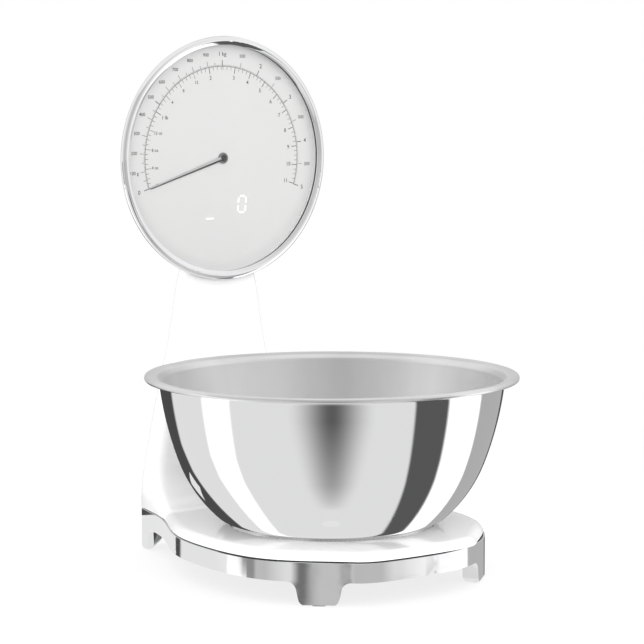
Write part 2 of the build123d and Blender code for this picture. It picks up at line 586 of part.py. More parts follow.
# ------------------------------------------------------------------ bowl
def bowl_wall(inset):
    """The wall's tangent arcs, from the flat base to the neck under the rim, set inwards by inset."""
    x, z, slope = BOWL_FLAT_R, PLATE_TOP_Z + inset, 0.0
    arcs = []
    for radius, end_deg in BOWL_ARCS:
        end = radians(end_deg)
        radius = radius - inset
        centre = (x - radius * sin(slope), z + radius * cos(slope))
        points = [(centre[0] + radius * sin(a), centre[1] - radius * cos(a)) for a in (slope, (slope + end) / 2, end)]
        arcs.extend(ThreePointArc(*points).edges())
        (x, z), slope = points[2], end
    return arcs, (x, z)


def bowl_solid():
    """The spun bowl: flat base, a wall of three tangent arcs, a narrow flange and a rolled rim."""
    outer, neck = bowl_wall(0)
    inner, neck_in = bowl_wall(BOWL_WALL)
    flange_z = (BOWL_ROLL_Z, BOWL_ROLL_Z + BOWL_WALL)
    roll_x = BOWL_RIM_R - BOWL_ROLL_R
    flare_x = neck[0] + BOWL_FLARE
    flare = ThreePointArc(neck, (neck[0] + 0.28 * BOWL_FLARE, neck[1] + 2.2), (flare_x, flange_z[0]))
    under = Line((flare_x, flange_z[0]), (roll_x - BOWL_ROLL_R, flange_z[0]))
    lowest = (roll_x, BOWL_ROLL_Z - BOWL_ROLL_R)
    outermost = (roll_x + BOWL_ROLL_R, BOWL_ROLL_Z)
    top = (roll_x, BOWL_ROLL_Z + BOWL_ROLL_R)
    diagonal = BOWL_ROLL_R * sin(radians(45))
    roll = [ThreePointArc((roll_x - BOWL_ROLL_R, flange_z[0]), lowest, outermost),
            ThreePointArc(outermost, (roll_x + diagonal, BOWL_ROLL_Z + diagonal), top)]
    lip = Line(top, (flare_x, flange_z[1]))
    turn_in = ThreePointArc((flare_x, flange_z[1]), (neck[0] + 0.06 * BOWL_FLARE, neck[1] + 2.9), neck_in)
    floor_z = PLATE_TOP_Z + BOWL_WALL
    floor = Polyline((BOWL_FLAT_R, floor_z), (0, floor_z), (0, PLATE_TOP_Z), (BOWL_FLAT_R, PLATE_TOP_Z))
    edges = [*outer, *flare.edges(), *under.edges(), *roll[0].edges(), *roll[1].edges(), *lip.edges(),
             *turn_in.edges(), *inner, *floor.edges()]
    return revolve(Plane.XZ * Face(Wire(edges)), Axis.Z, 360)


# ------------------------------------------------------------------ dial head
def pan_section(inset):
    """The pan's section from its middle to its edge as two tangent arcs, set inwards by inset."""
    crown = PAN_CROWN_R - inset
    turn = asin(PAN_SHOULDER_R / PAN_CROWN_R)
    points = [(crown * sin(angle), PAN_CENTRE_Y + crown * cos(angle)) for angle in (0, turn / 2, turn)]
    shoulder = TangentArc(points[2], (PAN_R - inset, PAN_FRONT_Y), tangent=(cos(turn), -sin(turn)))
    return [*ThreePointArc(*points).edges(), *shoulder.edges()]


def pan_envelope():
    """The space inside the casting's neck that the head takes up."""
    closing = Polyline((0, PAN_CENTRE_Y + PAN_CROWN_R), (0, PAN_FRONT_Y), (PAN_R, PAN_FRONT_Y))
    dome = head_revolve(Face(Wire([*pan_section(0), *closing.edges()])))
    dome = dome & box((-BEZEL_R, BEZEL_R), (PAN_FRONT_Y, BOARD_Y[0]), (HEAD_Z - BEZEL_R, HEAD_Z + BEZEL_R))
    start = COLUMN_FRONT_Y - 20
    return [dome, rod_y(0, HEAD_Z, TONGUE_R[1], (start, PAN_FRONT_Y)), rod_y(0, HEAD_Z, BEZEL_R, (start, FACE_Y[1]))]


def head_pan(form):
    """The shallow domed back of the head, notched for the top of the column, with bosses inside."""
    corners = [(PAN_R, PAN_FRONT_Y), (TONGUE_R[1], PAN_FRONT_Y), (TONGUE_R[1], TONGUE_FRONT_Y),
               (TONGUE_R[0], TONGUE_FRONT_Y), (TONGUE_R[0], FACE_Y[1]), (PAN_R - PAN_WALL, FACE_Y[1]),
               (PAN_R - PAN_WALL, PAN_FRONT_Y)]
    back_y = PAN_CENTRE_Y + PAN_CROWN_R
    middle = Line((0, back_y - PAN_WALL), (0, back_y))
    edges = [*pan_section(0), *Polyline(*corners).edges(), *pan_section(PAN_WALL), *middle.edges()]
    pan = head_revolve(Face(Wire(edges)))

    bosses, holes = [], []
    for places, seat in ((CARRIER_SCREWS, CARRIER_Y[1]), (STRAP_HEAD_SCREWS, STRAP_Y[1])):
        for x, z in places:
            end_y = PAN_CENTRE_Y + sqrt((PAN_CROWN_R - PAN_WALL / 2) ** 2 - x ** 2 - (z - HEAD_Z) ** 2)
            bosses.append(rod_y(x, z, PAN_BOSS_R, (seat, end_y)))
            holes.append(rod_y(x, z, SCREW_HOLE_R, (seat - 1, seat + 6)))
    neck = form & box((-60, 60), (BOARD_Y[0], REAR_Y), (HEAD_Z - BEZEL_R, COLUMN_TOP_Z + 1))
    return pan + bosses - [neck, *holes]


def bezel_ring():
    """The plated ring: a rounded band outside, a bevel inside, and a seat for the lens."""
    front = ThreePointArc(BEZEL_FRONT, BEZEL_SHOULDER, (BEZEL_R, HEAD_RING_Y))
    flank = ThreePointArc((BEZEL_R, HEAD_RING_Y), BEZEL_FLANK, (BEZEL_BACK_R, FACE_Y[1]))
    rest = Polyline((BEZEL_BACK_R, FACE_Y[1]), (LENS_R + 0.3, FACE_Y[1]), (LENS_R + 0.3, LENS_Y[0] - 0.1),
                    (BEZEL_LIP_R, LENS_Y[0] - 0.1), (BEZEL_LIP_R, LENS_Y[0] - 0.6), BEZEL_FRONT)
    return head_revolve(Face(Wire([*front.edges(), *flank.edges(), *rest.edges()])))


def dial_parts():
    """Lens, its gasket, the ring that sets its distance, the printed dial and the frame behind it."""
    lens = rod_y(0, HEAD_Z, LENS_R, LENS_Y)
    gasket = ring_y(BEZEL_LIP_R + 0.2, FACE_R, (LENS_Y[1], LENS_Y[1] + 0.6))
    spacer = ring_y(BEZEL_LIP_R, FACE_R, (LENS_Y[1] + 0.6, FACE_Y[0]))
    face = rod_y(0, HEAD_Z, FACE_R, FACE_Y) - rod_y(0, HEAD_Z, 1.6, (FACE_Y[0] - 1, FACE_Y[1] + 1))

    carrier = rod_y(0, HEAD_Z, CARRIER_R, CARRIER_Y)
    carrier = carrier - rod_y(0, HEAD_Z, 3.0, (CARRIER_Y[0] - 1, CARRIER_Y[1] + 1))
    carrier = carrier - box((DISPLAY_X[0] - 0.4, DISPLAY_X[1] + 0.4), (CARRIER_Y[0] - 1, CARRIER_Y[1] + 1),
                            (DISPLAY_Z[0] - 0.4, DISPLAY_Z[1] + 0.4))
    for side in (-1, 1):
        carrier = carrier - box(sorted((side * 44, side * 62)), (CARRIER_Y[0] - 1, CARRIER_Y[1] + 1),
                                (HEAD_Z - 22, HEAD_Z + 22))
    carrier = carrier - box(TOUCH_X, (TOUCH_Y[0] - 1, TOUCH_Y[1]), TOUCH_Z)
    for x, z in DISPLAY_POSTS:
        carrier = carrier + rod_y(x, z, 3.0, (CARRIER_Y[1] - 0.1, BOARD_Y[0]))
        carrier = carrier - rod_y(x, z, SCREW_HOLE_R - 0.1, (CARRIER_Y[1], BOARD_Y[0] + 1))
    for x, z in CARRIER_SCREWS:
        carrier = carrier - rod_y(x, z, 1.5, (CARRIER_Y[0] - 1, CARRIER_Y[1] + 1))
        carrier = carrier - rod_y(x, z, 2.6, (CARRIER_Y[0] - 1, CARRIER_Y[0] + 1.1))
    carrier_screws = [rod_y(x, z, 2.4, (CARRIER_Y[0] + 0.1, CARRIER_Y[0] + 1.1))
                      + rod_y(x, z, SCREW_R, (CARRIER_Y[0] + 1.0, CARRIER_Y[1] + 5.0)) for x, z in CARRIER_SCREWS]
    touch = box(TOUCH_X, TOUCH_Y, TOUCH_Z)
    return lens, gasket, spacer, face, carrier, Compound(carrier_screws), touch


def display_parts():
    """The board behind the dial, its screws, the seven-segment module and the connector."""
    board = box((-BOARD_HALF_X, BOARD_HALF_X), BOARD_Y, BOARD_Z)
    board = board - rod_y(0, HEAD_Z, 2.6, (BOARD_Y[0] - 1, BOARD_Y[1] + 1))
    for x, z in [*DISPLAY_POSTS, *MOTOR_SCREWS]:
        board = board - rod_y(x, z, 1.5, (BOARD_Y[0] - 1, BOARD_Y[1] + 1))
    screws = [screw_y(x, z, BOARD_Y[1] + 1.3, CARRIER_Y[1] + 0.5, head_height=1.3, shank_r=SCREW_R - 0.12)
              for x, z in DISPLAY_POSTS]
    module = box(DISPLAY_X, (CARRIER_Y[0] + 0.1, BOARD_Y[0]), DISPLAY_Z)
    connector = box(RIBBON_X, (BOARD_Y[1], BOARD_Y[1] + 1.6), (BOARD_Z[0] + 0.6, BOARD_Z[0] + 6))
    return board, Compound(screws), module, connector


def motor_parts():
    """The small gauge motor behind the board and its two screws."""
    flange = box((-MOTOR_FLANGE_HALF, MOTOR_FLANGE_HALF), MOTOR_Y, (HEAD_Z - 10, HEAD_Z))
    case = rod_y(0, HEAD_Z, MOTOR_R, MOTOR_Y) + flange
    case = case - rod_y(0, HEAD_Z, SHAFT_HOLE_R, (MOTOR_Y[0] - 1, MOTOR_Y[1] - 1.5))
    screws = []
    for x, z in MOTOR_SCREWS:
        case = case - rod_y(x, z, 1.3, (MOTOR_Y[0] - 1, MOTOR_Y[1] - 3))
        screws.append(screw_y(x, z, BOARD_Y[0] - 1.2, MOTOR_Y[1] - 4, head_r=2.2, head_height=1.2))
    return case, Compound(screws)


def pointer_parts():
    """Shaft, hub, roof-shaped blade and cap, with the blade at zero on the dial."""
    heading = radians(POINTER_REST_DEG)
    reach = Vector(sin(heading), 0, cos(heading))
    across = Vector(reach.Z, 0, -reach.X)
    pivot = Vector(0, HUB_Y[0], HEAD_Z)

    def roof(distance, width, height):
        foot = pivot + reach * distance
        points = [foot + across * (width / 2), foot - across * (width / 2), foot - Vector(0, height, 0)]
        return make_face(Polyline(*points, close=True))

    blade = loft([roof(0.5, *BLADE_ROOT), roof(POINTER_LENGTH, *BLADE_TIP)], ruled=True)
    eye = rod_y(0, HEAD_Z, 2.7, (HUB_Y[0] - 0.4, HUB_Y[0]))
    hub = rod_y(0, HEAD_Z, HUB_R, HUB_Y) - rod_y(0, HEAD_Z, SHAFT_R, (HUB_Y[0] - 1, HUB_Y[1] + 1))
    cap = rod_y(0, HEAD_Z, CAP_R, (CAP_FRONT_Y, HUB_Y[0]))
    cap = fillet(cap.edges().group_by(Axis.Y)[0], 0.4)
    shaft = rod_y(0, HEAD_Z, SHAFT_R, (HUB_Y[0], MOTOR_Y[1] - 2))
    return shaft, hub, (blade + eye) - cap, cap


def bracket_parts():
    """The steel strap that ties the head to the top of the column, and its screws."""
    places = [*STRAP_NECK_SCREWS, *STRAP_HEAD_SCREWS]
    strap = box((-STRAP_HALF, STRAP_HALF), STRAP_Y, STRAP_Z)
    strap = strap - [rod_y(x, z, SCREW_HOLE_R + 0.1, (STRAP_Y[0] - 1, STRAP_Y[1] + 1)) for x, z in places]
    screws = [screw_y(x, z, STRAP_Y[0] - 1.2, STRAP_Y[1] + 5, head_height=1.2) for x, z in places]
    return strap, Compound(screws)


# ------------------------------------------------------------------ the whole object
def build_all():
    """Every node of the object, by name."""
    form = casting_form()
    shell, back_cover = body_parts(form, cavity())
    strap, strap_screws = bracket_parts()
    ring, pads = foot_parts()
    pan, pan_screws = bottom_parts()
    tray, cells, contacts, door = battery_parts()
    cell, spacer, cell_screws, stop, spider, plate_screws, plate = weighing_parts()
    board, board_posts, board_screws, chips = main_board_parts()
    lens, gasket, dial_spacer, face, carrier, carrier_screws, touch = dial_parts()
    display_board, display_screws, module, connector = display_parts()
    motor, motor_screws = motor_parts()
    shaft, hub, blade, cap = pointer_parts()
    back_screws = [screw_y(x, z, rear_y(z) + 1.3, COLUMN_FRONT_Y + 7, head_r=3.0, head_height=1.2)
                   for x, z in BACK_BOSSES]
    return {
        "body_shell": shell, "column_back_cover": back_cover, "back_cover_screws": Compound(back_screws),
        "foot_ring": ring, "foot_pads": pads,
        "seam_gasket": plan_ring(1.1, LEDGE_DEPTH - 1, (SKIRT_TOP_Z, SEAM_Z)),
        "bottom_cover": pan, "bottom_cover_screws": pan_screws,
        "battery_tray": tray, "battery_cells": cells, "battery_contacts": contacts, "battery_door": door,
        "load_cell": cell, "load_cell_spacer": spacer, "load_cell_screws": cell_screws,
        "overload_stop": stop,
        "platform_spider": spider, "platform_screws": plate_screws, "platform_plate": plate,
        "main_board": board, "main_board_posts": board_posts, "main_board_screws": board_screws,
        "main_board_chips": chips, "ribbon_cable": ribbon_cable(),
        "bowl": bowl_solid(),
        "head_pan": head_pan(form), "head_bracket": strap, "head_bracket_screws": strap_screws,
        "bezel_ring": bezel_ring(), "lens": lens, "lens_gasket": gasket, "dial_spacer_ring": dial_spacer,
        "dial_face": face, "dial_carrier": carrier, "dial_carrier_screws": carrier_screws,
        "touch_foil": touch,
        "display_board": display_board, "display_board_screws": display_screws,
        "display_module": module, "display_connector": connector,
        "pointer_motor": motor, "pointer_motor_screws": motor_screws,
        "pointer_shaft": shaft, "pointer_hub": hub, "pointer_blade": blade, "pointer_cap": cap,
    }


os.makedirs("parts", exist_ok=True)
for name, solid in build_all().items():
    export_step(Pos(0, FRAME_SHIFT_Y, 0) * solid, "parts/" + name + ".step")
    print(name, round(solid.volume))
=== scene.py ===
import math

import bmesh
import bpy
import numpy as np
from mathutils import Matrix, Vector


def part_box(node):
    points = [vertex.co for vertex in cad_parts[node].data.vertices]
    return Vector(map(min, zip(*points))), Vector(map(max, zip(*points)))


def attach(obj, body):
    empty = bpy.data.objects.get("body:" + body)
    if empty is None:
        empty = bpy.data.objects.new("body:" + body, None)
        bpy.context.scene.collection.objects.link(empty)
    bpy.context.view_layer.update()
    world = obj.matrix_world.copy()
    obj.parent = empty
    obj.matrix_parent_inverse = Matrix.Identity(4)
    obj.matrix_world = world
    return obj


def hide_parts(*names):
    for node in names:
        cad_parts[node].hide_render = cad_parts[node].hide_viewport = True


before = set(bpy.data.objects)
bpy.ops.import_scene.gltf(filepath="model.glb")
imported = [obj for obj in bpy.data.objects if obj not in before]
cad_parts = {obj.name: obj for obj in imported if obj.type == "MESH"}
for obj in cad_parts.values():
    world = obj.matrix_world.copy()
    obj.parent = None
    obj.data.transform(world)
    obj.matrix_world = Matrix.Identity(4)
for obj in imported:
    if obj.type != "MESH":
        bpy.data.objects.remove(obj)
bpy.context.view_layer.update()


# ---------------------------------------------------------------- camera, floor and light
# The scale stands on a pale floor that turns to plain white further out, in even, soft light. A round tent of
# white panels and dark cards stands round it, laid out for this one camera. Only polished metal mirrors it.

class Signal:
    """A value, colour or vector inside a finish. With signals and numbers, + - * / and ** add Math nodes."""

    def __init__(self, finish, socket):
        self.finish = finish
        self.socket = socket

    def combine(self, operation, first, second):
        """The result of one Math node."""
        return self.finish.node("ShaderNodeMath", {"operation": operation}, {0: first, 1: second})

    def __add__(self, other):
        return self.combine("ADD", self, other)

    __radd__ = __add__

    def __sub__(self, other):
        return self.combine("SUBTRACT", self, other)

    def __rsub__(self, other):
        return self.combine("SUBTRACT", other, self)

    def __mul__(self, other):
        return self.combine("MULTIPLY", self, other)

    __rmul__ = __mul__

    def __truediv__(self, other):
        return self.combine("DIVIDE", self, other)

    def __pow__(self, other):
        return self.combine("POWER", self, other)


class Finish:
    """A material made of nodes. node() adds one node, sets its settings first and then its sockets."""

    def __init__(self, name, sockets):
        self.material = bpy.data.materials.new(name)
        self.material.use_nodes = True
        self.tree = self.material.node_tree
        self.tree.nodes.clear()
        self.end = self.tree.nodes.new("ShaderNodeOutputMaterial")
        self.surface = self.tree.nodes.new("ShaderNodeBsdfPrincipled")
        self.tree.links.new(self.surface.outputs[0], self.end.inputs["Surface"])
        self.set(sockets)

    def put(self, value, socket):
        """Link a signal to a socket, or set the socket to a number or colour."""
        if isinstance(value, Signal):
            self.tree.links.new(value.socket, socket)
        elif isinstance(value, tuple) and socket.type == "RGBA":
            socket.default_value = (*value, 1.0)
        else:
            socket.default_value = value

    def set(self, sockets):
        """Set or link sockets of the surface by their names."""
        for name, value in sockets.items():
            self.put(value, self.surface.inputs[name])

    def node(self, kind, settings=None, sockets=None, output=0):
        """A new node of this kind, as the signal of one of its outputs."""
        made = self.tree.nodes.new(kind)
        for name, value in (settings or {}).items():
            setattr(made, name, value)
        for name, value in (sockets or {}).items():
            self.put(value, made.inputs[name])
        return Signal(self, made.outputs[output])

    def place(self, scale=(1, 1, 1)):
        """Position on the piece in metres, stretched by scale."""
        spot = self.node("ShaderNodeTexCoord", output="Object")
        return self.node("ShaderNodeMapping", {}, {"Vector": spot, "Scale": scale})

    def position(self):
        """Position on the piece in metres, as the three signals x, y and z."""
        split = self.node("ShaderNodeSeparateXYZ", {}, {0: self.place()})
        return [Signal(self, output) for output in split.socket.node.outputs]

    def noise(self, size, detail=2.0, stretch=(1, 1, 1)):
        """Smooth noise from 0 to 1 with features of about size metres."""
        spot = self.place(tuple(part / size for part in stretch))
        return self.node("ShaderNodeTexNoise", {}, {"Vector": spot, "Scale": 1.0, "Detail": detail})

    def attribute(self, name):
        """A number stored at every point of the mesh under this name."""
        return self.node("ShaderNodeAttribute", {"attribute_name": name}, {}, "Fac")

    def bump(self, height, depth):
        """A surface normal from a height between 0 and 1 that is depth metres deep."""
        return self.node("ShaderNodeBump", {}, {"Height": height, "Distance": depth, "Strength": 1.0})

    def blend(self, factor, first, second):
        """The mix of two colours."""
        return self.node("ShaderNodeMix", {"data_type": "RGBA"}, {0: factor, 6: first, 7: second}, 2)

    def soft(self, x, low, high):
        """A smooth step of x from 0 at low to 1 at high."""
        return self.node("ShaderNodeMapRange", {"interpolation_type": "SMOOTHSTEP"},
                         {0: x, 1: low, 2: high, 3: 0.0, 4: 1.0})

    def show(self, shader):
        """Show this shader in place of the plain surface."""
        self.put(shader, self.end.inputs["Surface"])

    def shine(self, strength):
        """Make it a light: white, with this strength."""
        self.show(self.node("ShaderNodeEmission", {}, {"Color": (1.0, 1.0, 1.0), "Strength": strength}))


def quads(rows, columns):
    """The quads of a grid of points numbered row by row. The last point of each row joins its first."""
    row = np.arange(rows - 1)[:, None]
    column = np.arange(columns)[None, :]
    next_row, next_column = row + 1, (column + 1) % columns
    corners = [row * columns + column, row * columns + next_column,
               next_row * columns + next_column, next_row * columns + column]
    return np.stack(np.broadcast_arrays(*corners), -1).reshape(-1, 4)


def new_piece(name, points, faces, finish, merge=0.0, smooth=True):
    """A mesh object at the origin from points in metres and lists of corners, facing outwards. Points nearer
    to each other than merge become one."""
    mesh = bpy.data.meshes.new(name)
    places = np.asarray(points, float).reshape(-1, 3).tolist()
    mesh.from_pydata(places, [], [list(map(int, face)) for face in faces])
    build = bmesh.new()
    build.from_mesh(mesh)
    if merge:
        bmesh.ops.remove_doubles(build, verts=build.verts, dist=merge)
    bmesh.ops.recalc_face_normals(build, faces=build.faces)
    build.to_mesh(mesh)
    build.free()
    mesh.polygons.foreach_set("use_smooth", np.full(len(mesh.polygons), smooth))
    mesh.materials.append(finish.material)
    piece = bpy.data.objects.new(name, mesh)
    bpy.context.scene.collection.objects.link(piece)
    return piece


CAMERA_TURN, CAMERA_TILT = -36.22, 6.06     # degrees: round from straight ahead, and up from level
CAMERA_DISTANCE = 1.634
turn, tilt = math.radians(CAMERA_TURN), math.radians(CAMERA_TILT)
towards = Vector((math.sin(turn) * math.cos(tilt), -math.cos(turn) * math.cos(tilt), math.sin(tilt)))
aim = Vector((-0.0055, -0.0115, 0.1757))
camera = bpy.data.objects.new("camera", bpy.data.cameras.new("camera"))
camera.location = aim + CAMERA_DISTANCE * towards
camera.rotation_euler = towards.to_track_quat("Z", "Y").to_euler()
camera.data.lens = 132.9
camera.data.sensor_width = 36.0
bpy.context.scene.collection.objects.link(camera)
bpy.context.scene.camera = camera
bpy.context.scene.view_settings.view_transform = "Standard"

KEY_WAY = (-0.30, -0.70, 0.65)              # the light is strongest from here: the left, the front and above
KEY_RANGE = (0.1, 2.1)                      # its strength from behind and from the front
MIRRORED_LEVEL, SEEN_LEVEL = 0.85, 1.0      # the same sky as metal and the camera see it

world = bpy.data.worlds.new("even_light")
world.use_nodes = True
sky = world.node_tree.nodes["Background"]
sky.inputs["Color"].default_value = (1.0, 1.0, 1.0, 1.0)
ray = world.node_tree.nodes.new("ShaderNodeLightPath")
way = world.node_tree.nodes.new("ShaderNodeTexCoord")
key = world.node_tree.nodes.new("ShaderNodeVectorMath")
key.operation = "DOT_PRODUCT"
key.inputs[1].default_value = KEY_WAY
world.node_tree.links.new(way.outputs["Generated"], key.inputs[0])
soft_key = world.node_tree.nodes.new("ShaderNodeMapRange")
soft_key.inputs["From Min"].default_value = -1.0
soft_key.inputs["To Min"].default_value = KEY_RANGE[0]
soft_key.inputs["To Max"].default_value = KEY_RANGE[1]
world.node_tree.links.new(key.outputs["Value"], soft_key.inputs["Value"])
strength = soft_key.outputs["Result"]
for kind, level in (("Is Glossy Ray", MIRRORED_LEVEL), ("Is Camera Ray", SEEN_LEVEL)):
    choice = world.node_tree.nodes.new("ShaderNodeMix")
    choice.inputs["B"].default_value = level
    world.node_tree.links.new(ray.outputs[kind], choice.inputs["Factor"])
    world.node_tree.links.new(strength, choice.inputs["A"])
    strength = choice.outputs["Result"]
world.node_tree.links.new(strength, sky.inputs["Strength"])
bpy.context.scene.world = world

FLOOR_WHITE = 0.78                          # share of plain white near the scale
FLOOR_FADE = (0.2, 0.7)                     # distances over which that share grows to 1
FLOOR_HALF = 12

floor_finish = Finish("pale_floor", {"Base Color": (0.93, 0.93, 0.93), "Roughness": 0.6})
across, along = floor_finish.position()[:2]
distance = (across * across + along * along) ** 0.5
far = FLOOR_WHITE + (1 - FLOOR_WHITE) * floor_finish.soft(distance, *FLOOR_FADE)
glow = floor_finish.node("ShaderNodeEmission", {}, {"Color": (1.0, 1.0, 1.0), "Strength": 1.0})
matt = Signal(floor_finish, floor_finish.surface.outputs[0])
floor_mix = floor_finish.node("ShaderNodeMixShader", {}, {0: far, 1: matt, 2: glow})
below = floor_finish.node("ShaderNodeNewGeometry", output="Backfacing")
clear = floor_finish.node("ShaderNodeBsdfTransparent", {}, {"Color": (1.0, 1.0, 1.0)})
floor_finish.show(floor_finish.node("ShaderNodeMixShader", {}, {0: below, 1: floor_mix, 2: clear}))
floor_points = [(-FLOOR_HALF, -FLOOR_HALF, 0), (FLOOR_HALF, -FLOOR_HALF, 0),
                (FLOOR_HALF, FLOOR_HALF, 0), (-FLOOR_HALF, FLOOR_HALF, 0)]
floor = new_piece("floor", floor_points, [(0, 1, 2, 3)], floor_finish)
floor.visible_glossy = False
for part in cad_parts.values():
    part.visible_glossy = False


def hang_cards(azimuth, wall, cards):
    """How bright a wall of the tent is. Each card on it is (azimuth of its middle in degrees, width, how many
    degrees its edges fade over, brightness), and a later card hangs in front of an earlier one."""
    level = np.full_like(azimuth, wall)
    for middle, width, edge, brightness in cards:
        off = np.abs((azimuth - middle + 180) % 360 - 180)
        share = np.clip((width / 2 - off) / edge + 0.5, 0, 1)
        level = level + (brightness - level) * share
    return level


TENT_RADIUS, TENT_MIDDLE = 3.0, 0.1

# A wall that faces halfway between the camera and a place on the tent mirrors that place into the camera.
# aside and overhang say in degrees how far that wall is turned from the camera and how far it leans out.
columns = np.radians(np.linspace(-180.0, 180.0, 721)[:-1])
rows = np.radians(np.linspace(-50.0, 86.0, 137))
turned, lowered = np.meshgrid(columns, rows)
outwards = np.cos(lowered)
mirrored = np.stack([np.sin(turned) * outwards, -np.cos(turned) * outwards, -np.sin(lowered)], -1)
tent_points = TENT_RADIUS * mirrored + np.array([0.0, 0.0, TENT_MIDDLE])
facing = mirrored + np.array(towards)
facing /= np.linalg.norm(facing, axis=-1, keepdims=True)
aside = (np.degrees(np.arctan2(facing[..., 0], -facing[..., 1])) - CAMERA_TURN + 180) % 360 - 180
overhang = -np.degrees(np.arcsin(facing[..., 2]))
# Towards the foot of the bowl the cards spread, more on the left than on the right.
spread = np.clip((overhang - 18) / 40, 0, 1) * np.where(aside < 0, 0.38, 0.08)
wall_azimuth = np.clip(2 * aside * (1 + spread), -179, 179) + CAMERA_TURN
wall_azimuth = (wall_azimuth + 180) % 360 - 180
# The dark gap in front is widest and darkest under the rim and closes further down, as a wedge.
fade = np.clip((34 - overhang) / 24, 0, 1)
gap = np.clip(1 - np.abs(2 * aside) / (14 + 16 * fade), 0, 1)
# For walls that lean out like the bowl's: two white strips face each other. A black card hangs by the right
# one, a grey card past it and a black flag behind.
low = hang_cards(wall_azimuth, 0.80, [(155, 75, 3, 0.07), (98, 40, 2, 0.45), (62, 32, 2, 1.30),
                                      (32, 26, 2, 0.10), (-118, 24, 2, 1.30)])
low = low * (1 - 0.86 * fade ** 0.7 * (gap * gap * (3 - 2 * gap)))
# For upright walls like the foot ring's: a white panel on each side, grey panels, two black cards and a flag.
upright = hang_cards(wall_azimuth, 0.75, [(110, 60, 12, 0.55), (52, 36, 8, 1.00), (-14, 72, 10, 0.50),
                                          (-54, 8, 5, 0.15), (-96, 40, 24, 0.50), (-108, 15, 4, 0.25),
                                          (-128, 20, 6, 1.00), (154, 20, 3, 0.08)])
# Walls that lean back mirror plain panels, darkest straight ahead.
high = 0.70 - 0.20 * np.cos(np.radians(2 * (wall_azimuth + 38)))
brightness = np.where(overhang > 5, low, np.where(overhang > -4, upright, high))
tent_finish = Finish("tent_panels", {})
tent_finish.shine(tent_finish.attribute("light"))
tent = new_piece("light_tent", tent_points, quads(*turned.shape), tent_finish)
light = tent.data.attributes.new("light", "FLOAT", "POINT")
light.data.foreach_set("value", brightness.ravel())

# A small white card stands low behind the base, where its left flank mirrors it.
card_finish = Finish("low_card", {})
card_finish.shine(0.82)
card_points = [(-0.09, 0.16, -0.01), (-0.045, 0.16, -0.01), (-0.045, 0.16, 0.02), (-0.09, 0.16, 0.02)]
card = new_piece("low_card", card_points, [(0, 1, 2, 3)], card_finish)
for lamp in (tent, card):
    lamp.visible_camera = False
    lamp.visible_diffuse = False
    lamp.visible_shadow = False
    lamp.visible_transmission = False


# ---------------------------------------------------------------- rubber pads and the plated foot ring
# The ring with its four legs is one die casting, polished and plated like a mirror. A black rubber pad is let
# into the end of each leg.

def dress(finish, *nodes):
    """Give CAD nodes their finish."""
    for node in nodes:
        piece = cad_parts[node]
        piece.data.materials.clear()
        piece.data.materials.append(finish.material)


SHARP_ANGLE = 35                            # degrees between faces from which an edge stays sharp


def corners_of(mesh):
    """The places of a mesh's corners, one row each."""
    places = np.zeros(len(mesh.vertices) * 3)
    mesh.vertices.foreach_get("co", places)
    return places.reshape(-1, 3)


def polished_copy(node, body, finish):
    """A copy of a CAD node whose neighbouring faces share their corners, so that a mirror finish runs on. As
    with the CAD nodes, metal doesn't mirror it."""
    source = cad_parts[node].data
    matrix = np.array(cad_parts[node].matrix_world)
    points = corners_of(source) @ matrix[:3, :3].T + matrix[:3, 3]
    faces = [polygon.vertices for polygon in source.polygons]
    piece = new_piece(node + "_polished", points, faces, finish, merge=2e-6)
    piece.data.set_sharp_from_angle(angle=math.radians(SHARP_ANGLE))
    piece.visible_glossy = False
    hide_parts(node)
    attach(piece, body)


pad_rubber = Finish("pad_rubber", {"Base Color": (0.03, 0.03, 0.03)})
grain = pad_rubber.noise(0.0004)
pad_rubber.set({"Roughness": 0.7 + 0.2 * grain, "Normal": pad_rubber.bump(grain, 0.00004)})
dress(pad_rubber, "foot_pads")

ring_plating = Finish("ring_plating", {"Base Color": (0.95, 0.95, 0.96), "Metallic": 1.0})
ring_plating.set({"Roughness": 0.05 + 0.05 * ring_plating.noise(0.02, 4.0)})
polished_copy("foot_ring", "stand", ring_plating)


# ---------------------------------------------------------------- seam gasket
# A strip of black rubber, cut to the plan of the base. It lies pinched between the ring's ledge and the
# casting, and shows as the dark line round the base. The lens has a ring of the same rubber.

seam_rubber = Finish("seam_rubber", {"Base Color": (0.012, 0.012, 0.012)})
grain = seam_rubber.noise(0.0006)
seam_rubber.set({"Roughness": 0.6 + 0.2 * grain, "Normal": seam_rubber.bump(grain, 0.00003)})
dress(seam_rubber, "seam_gasket", "lens_gasket")


# ---------------------------------------------------------------- bottom cover, battery door and screws
# The floor of the base and the door over the cells are moulded in grey plastic with a fine spark texture.
# Zinc plated screws hold the cover and everything inside.

grey_plastic = Finish("grey_plastic", {})
grain = grey_plastic.noise(0.0005, 3.0)
tone = grey_plastic.blend(grain, (0.17, 0.175, 0.18), (0.21, 0.215, 0.22))
grey_plastic.set({"Base Color": tone, "Roughness": 0.5 + 0.2 * grain,
                  "Normal": grey_plastic.bump(grain, 0.00005)})
dress(grey_plastic, "bottom_cover", "battery_door")

zinc = Finish("zinc_plating", {"Metallic": 1.0})
cloud = zinc.noise(0.003, 4.0)
zinc.set({"Base Color": zinc.blend(cloud, (0.58, 0.58, 0.55), (0.70, 0.70, 0.68)),
          "Roughness": 0.25 + 0.2 * cloud})
dress(zinc, "bottom_cover_screws", "back_cover_screws", "load_cell_screws", "overload_stop",
      "platform_screws", "main_board_screws", "head_bracket_screws", "dial_carrier_screws",
      "display_board_screws", "pointer_motor_screws")


# ---------------------------------------------------------------- battery bay
# Three slim cells in steel cans with a printed jacket lie side by side in a black moulded tray. Contact
# plates of nickel plated steel hold them at both ends.

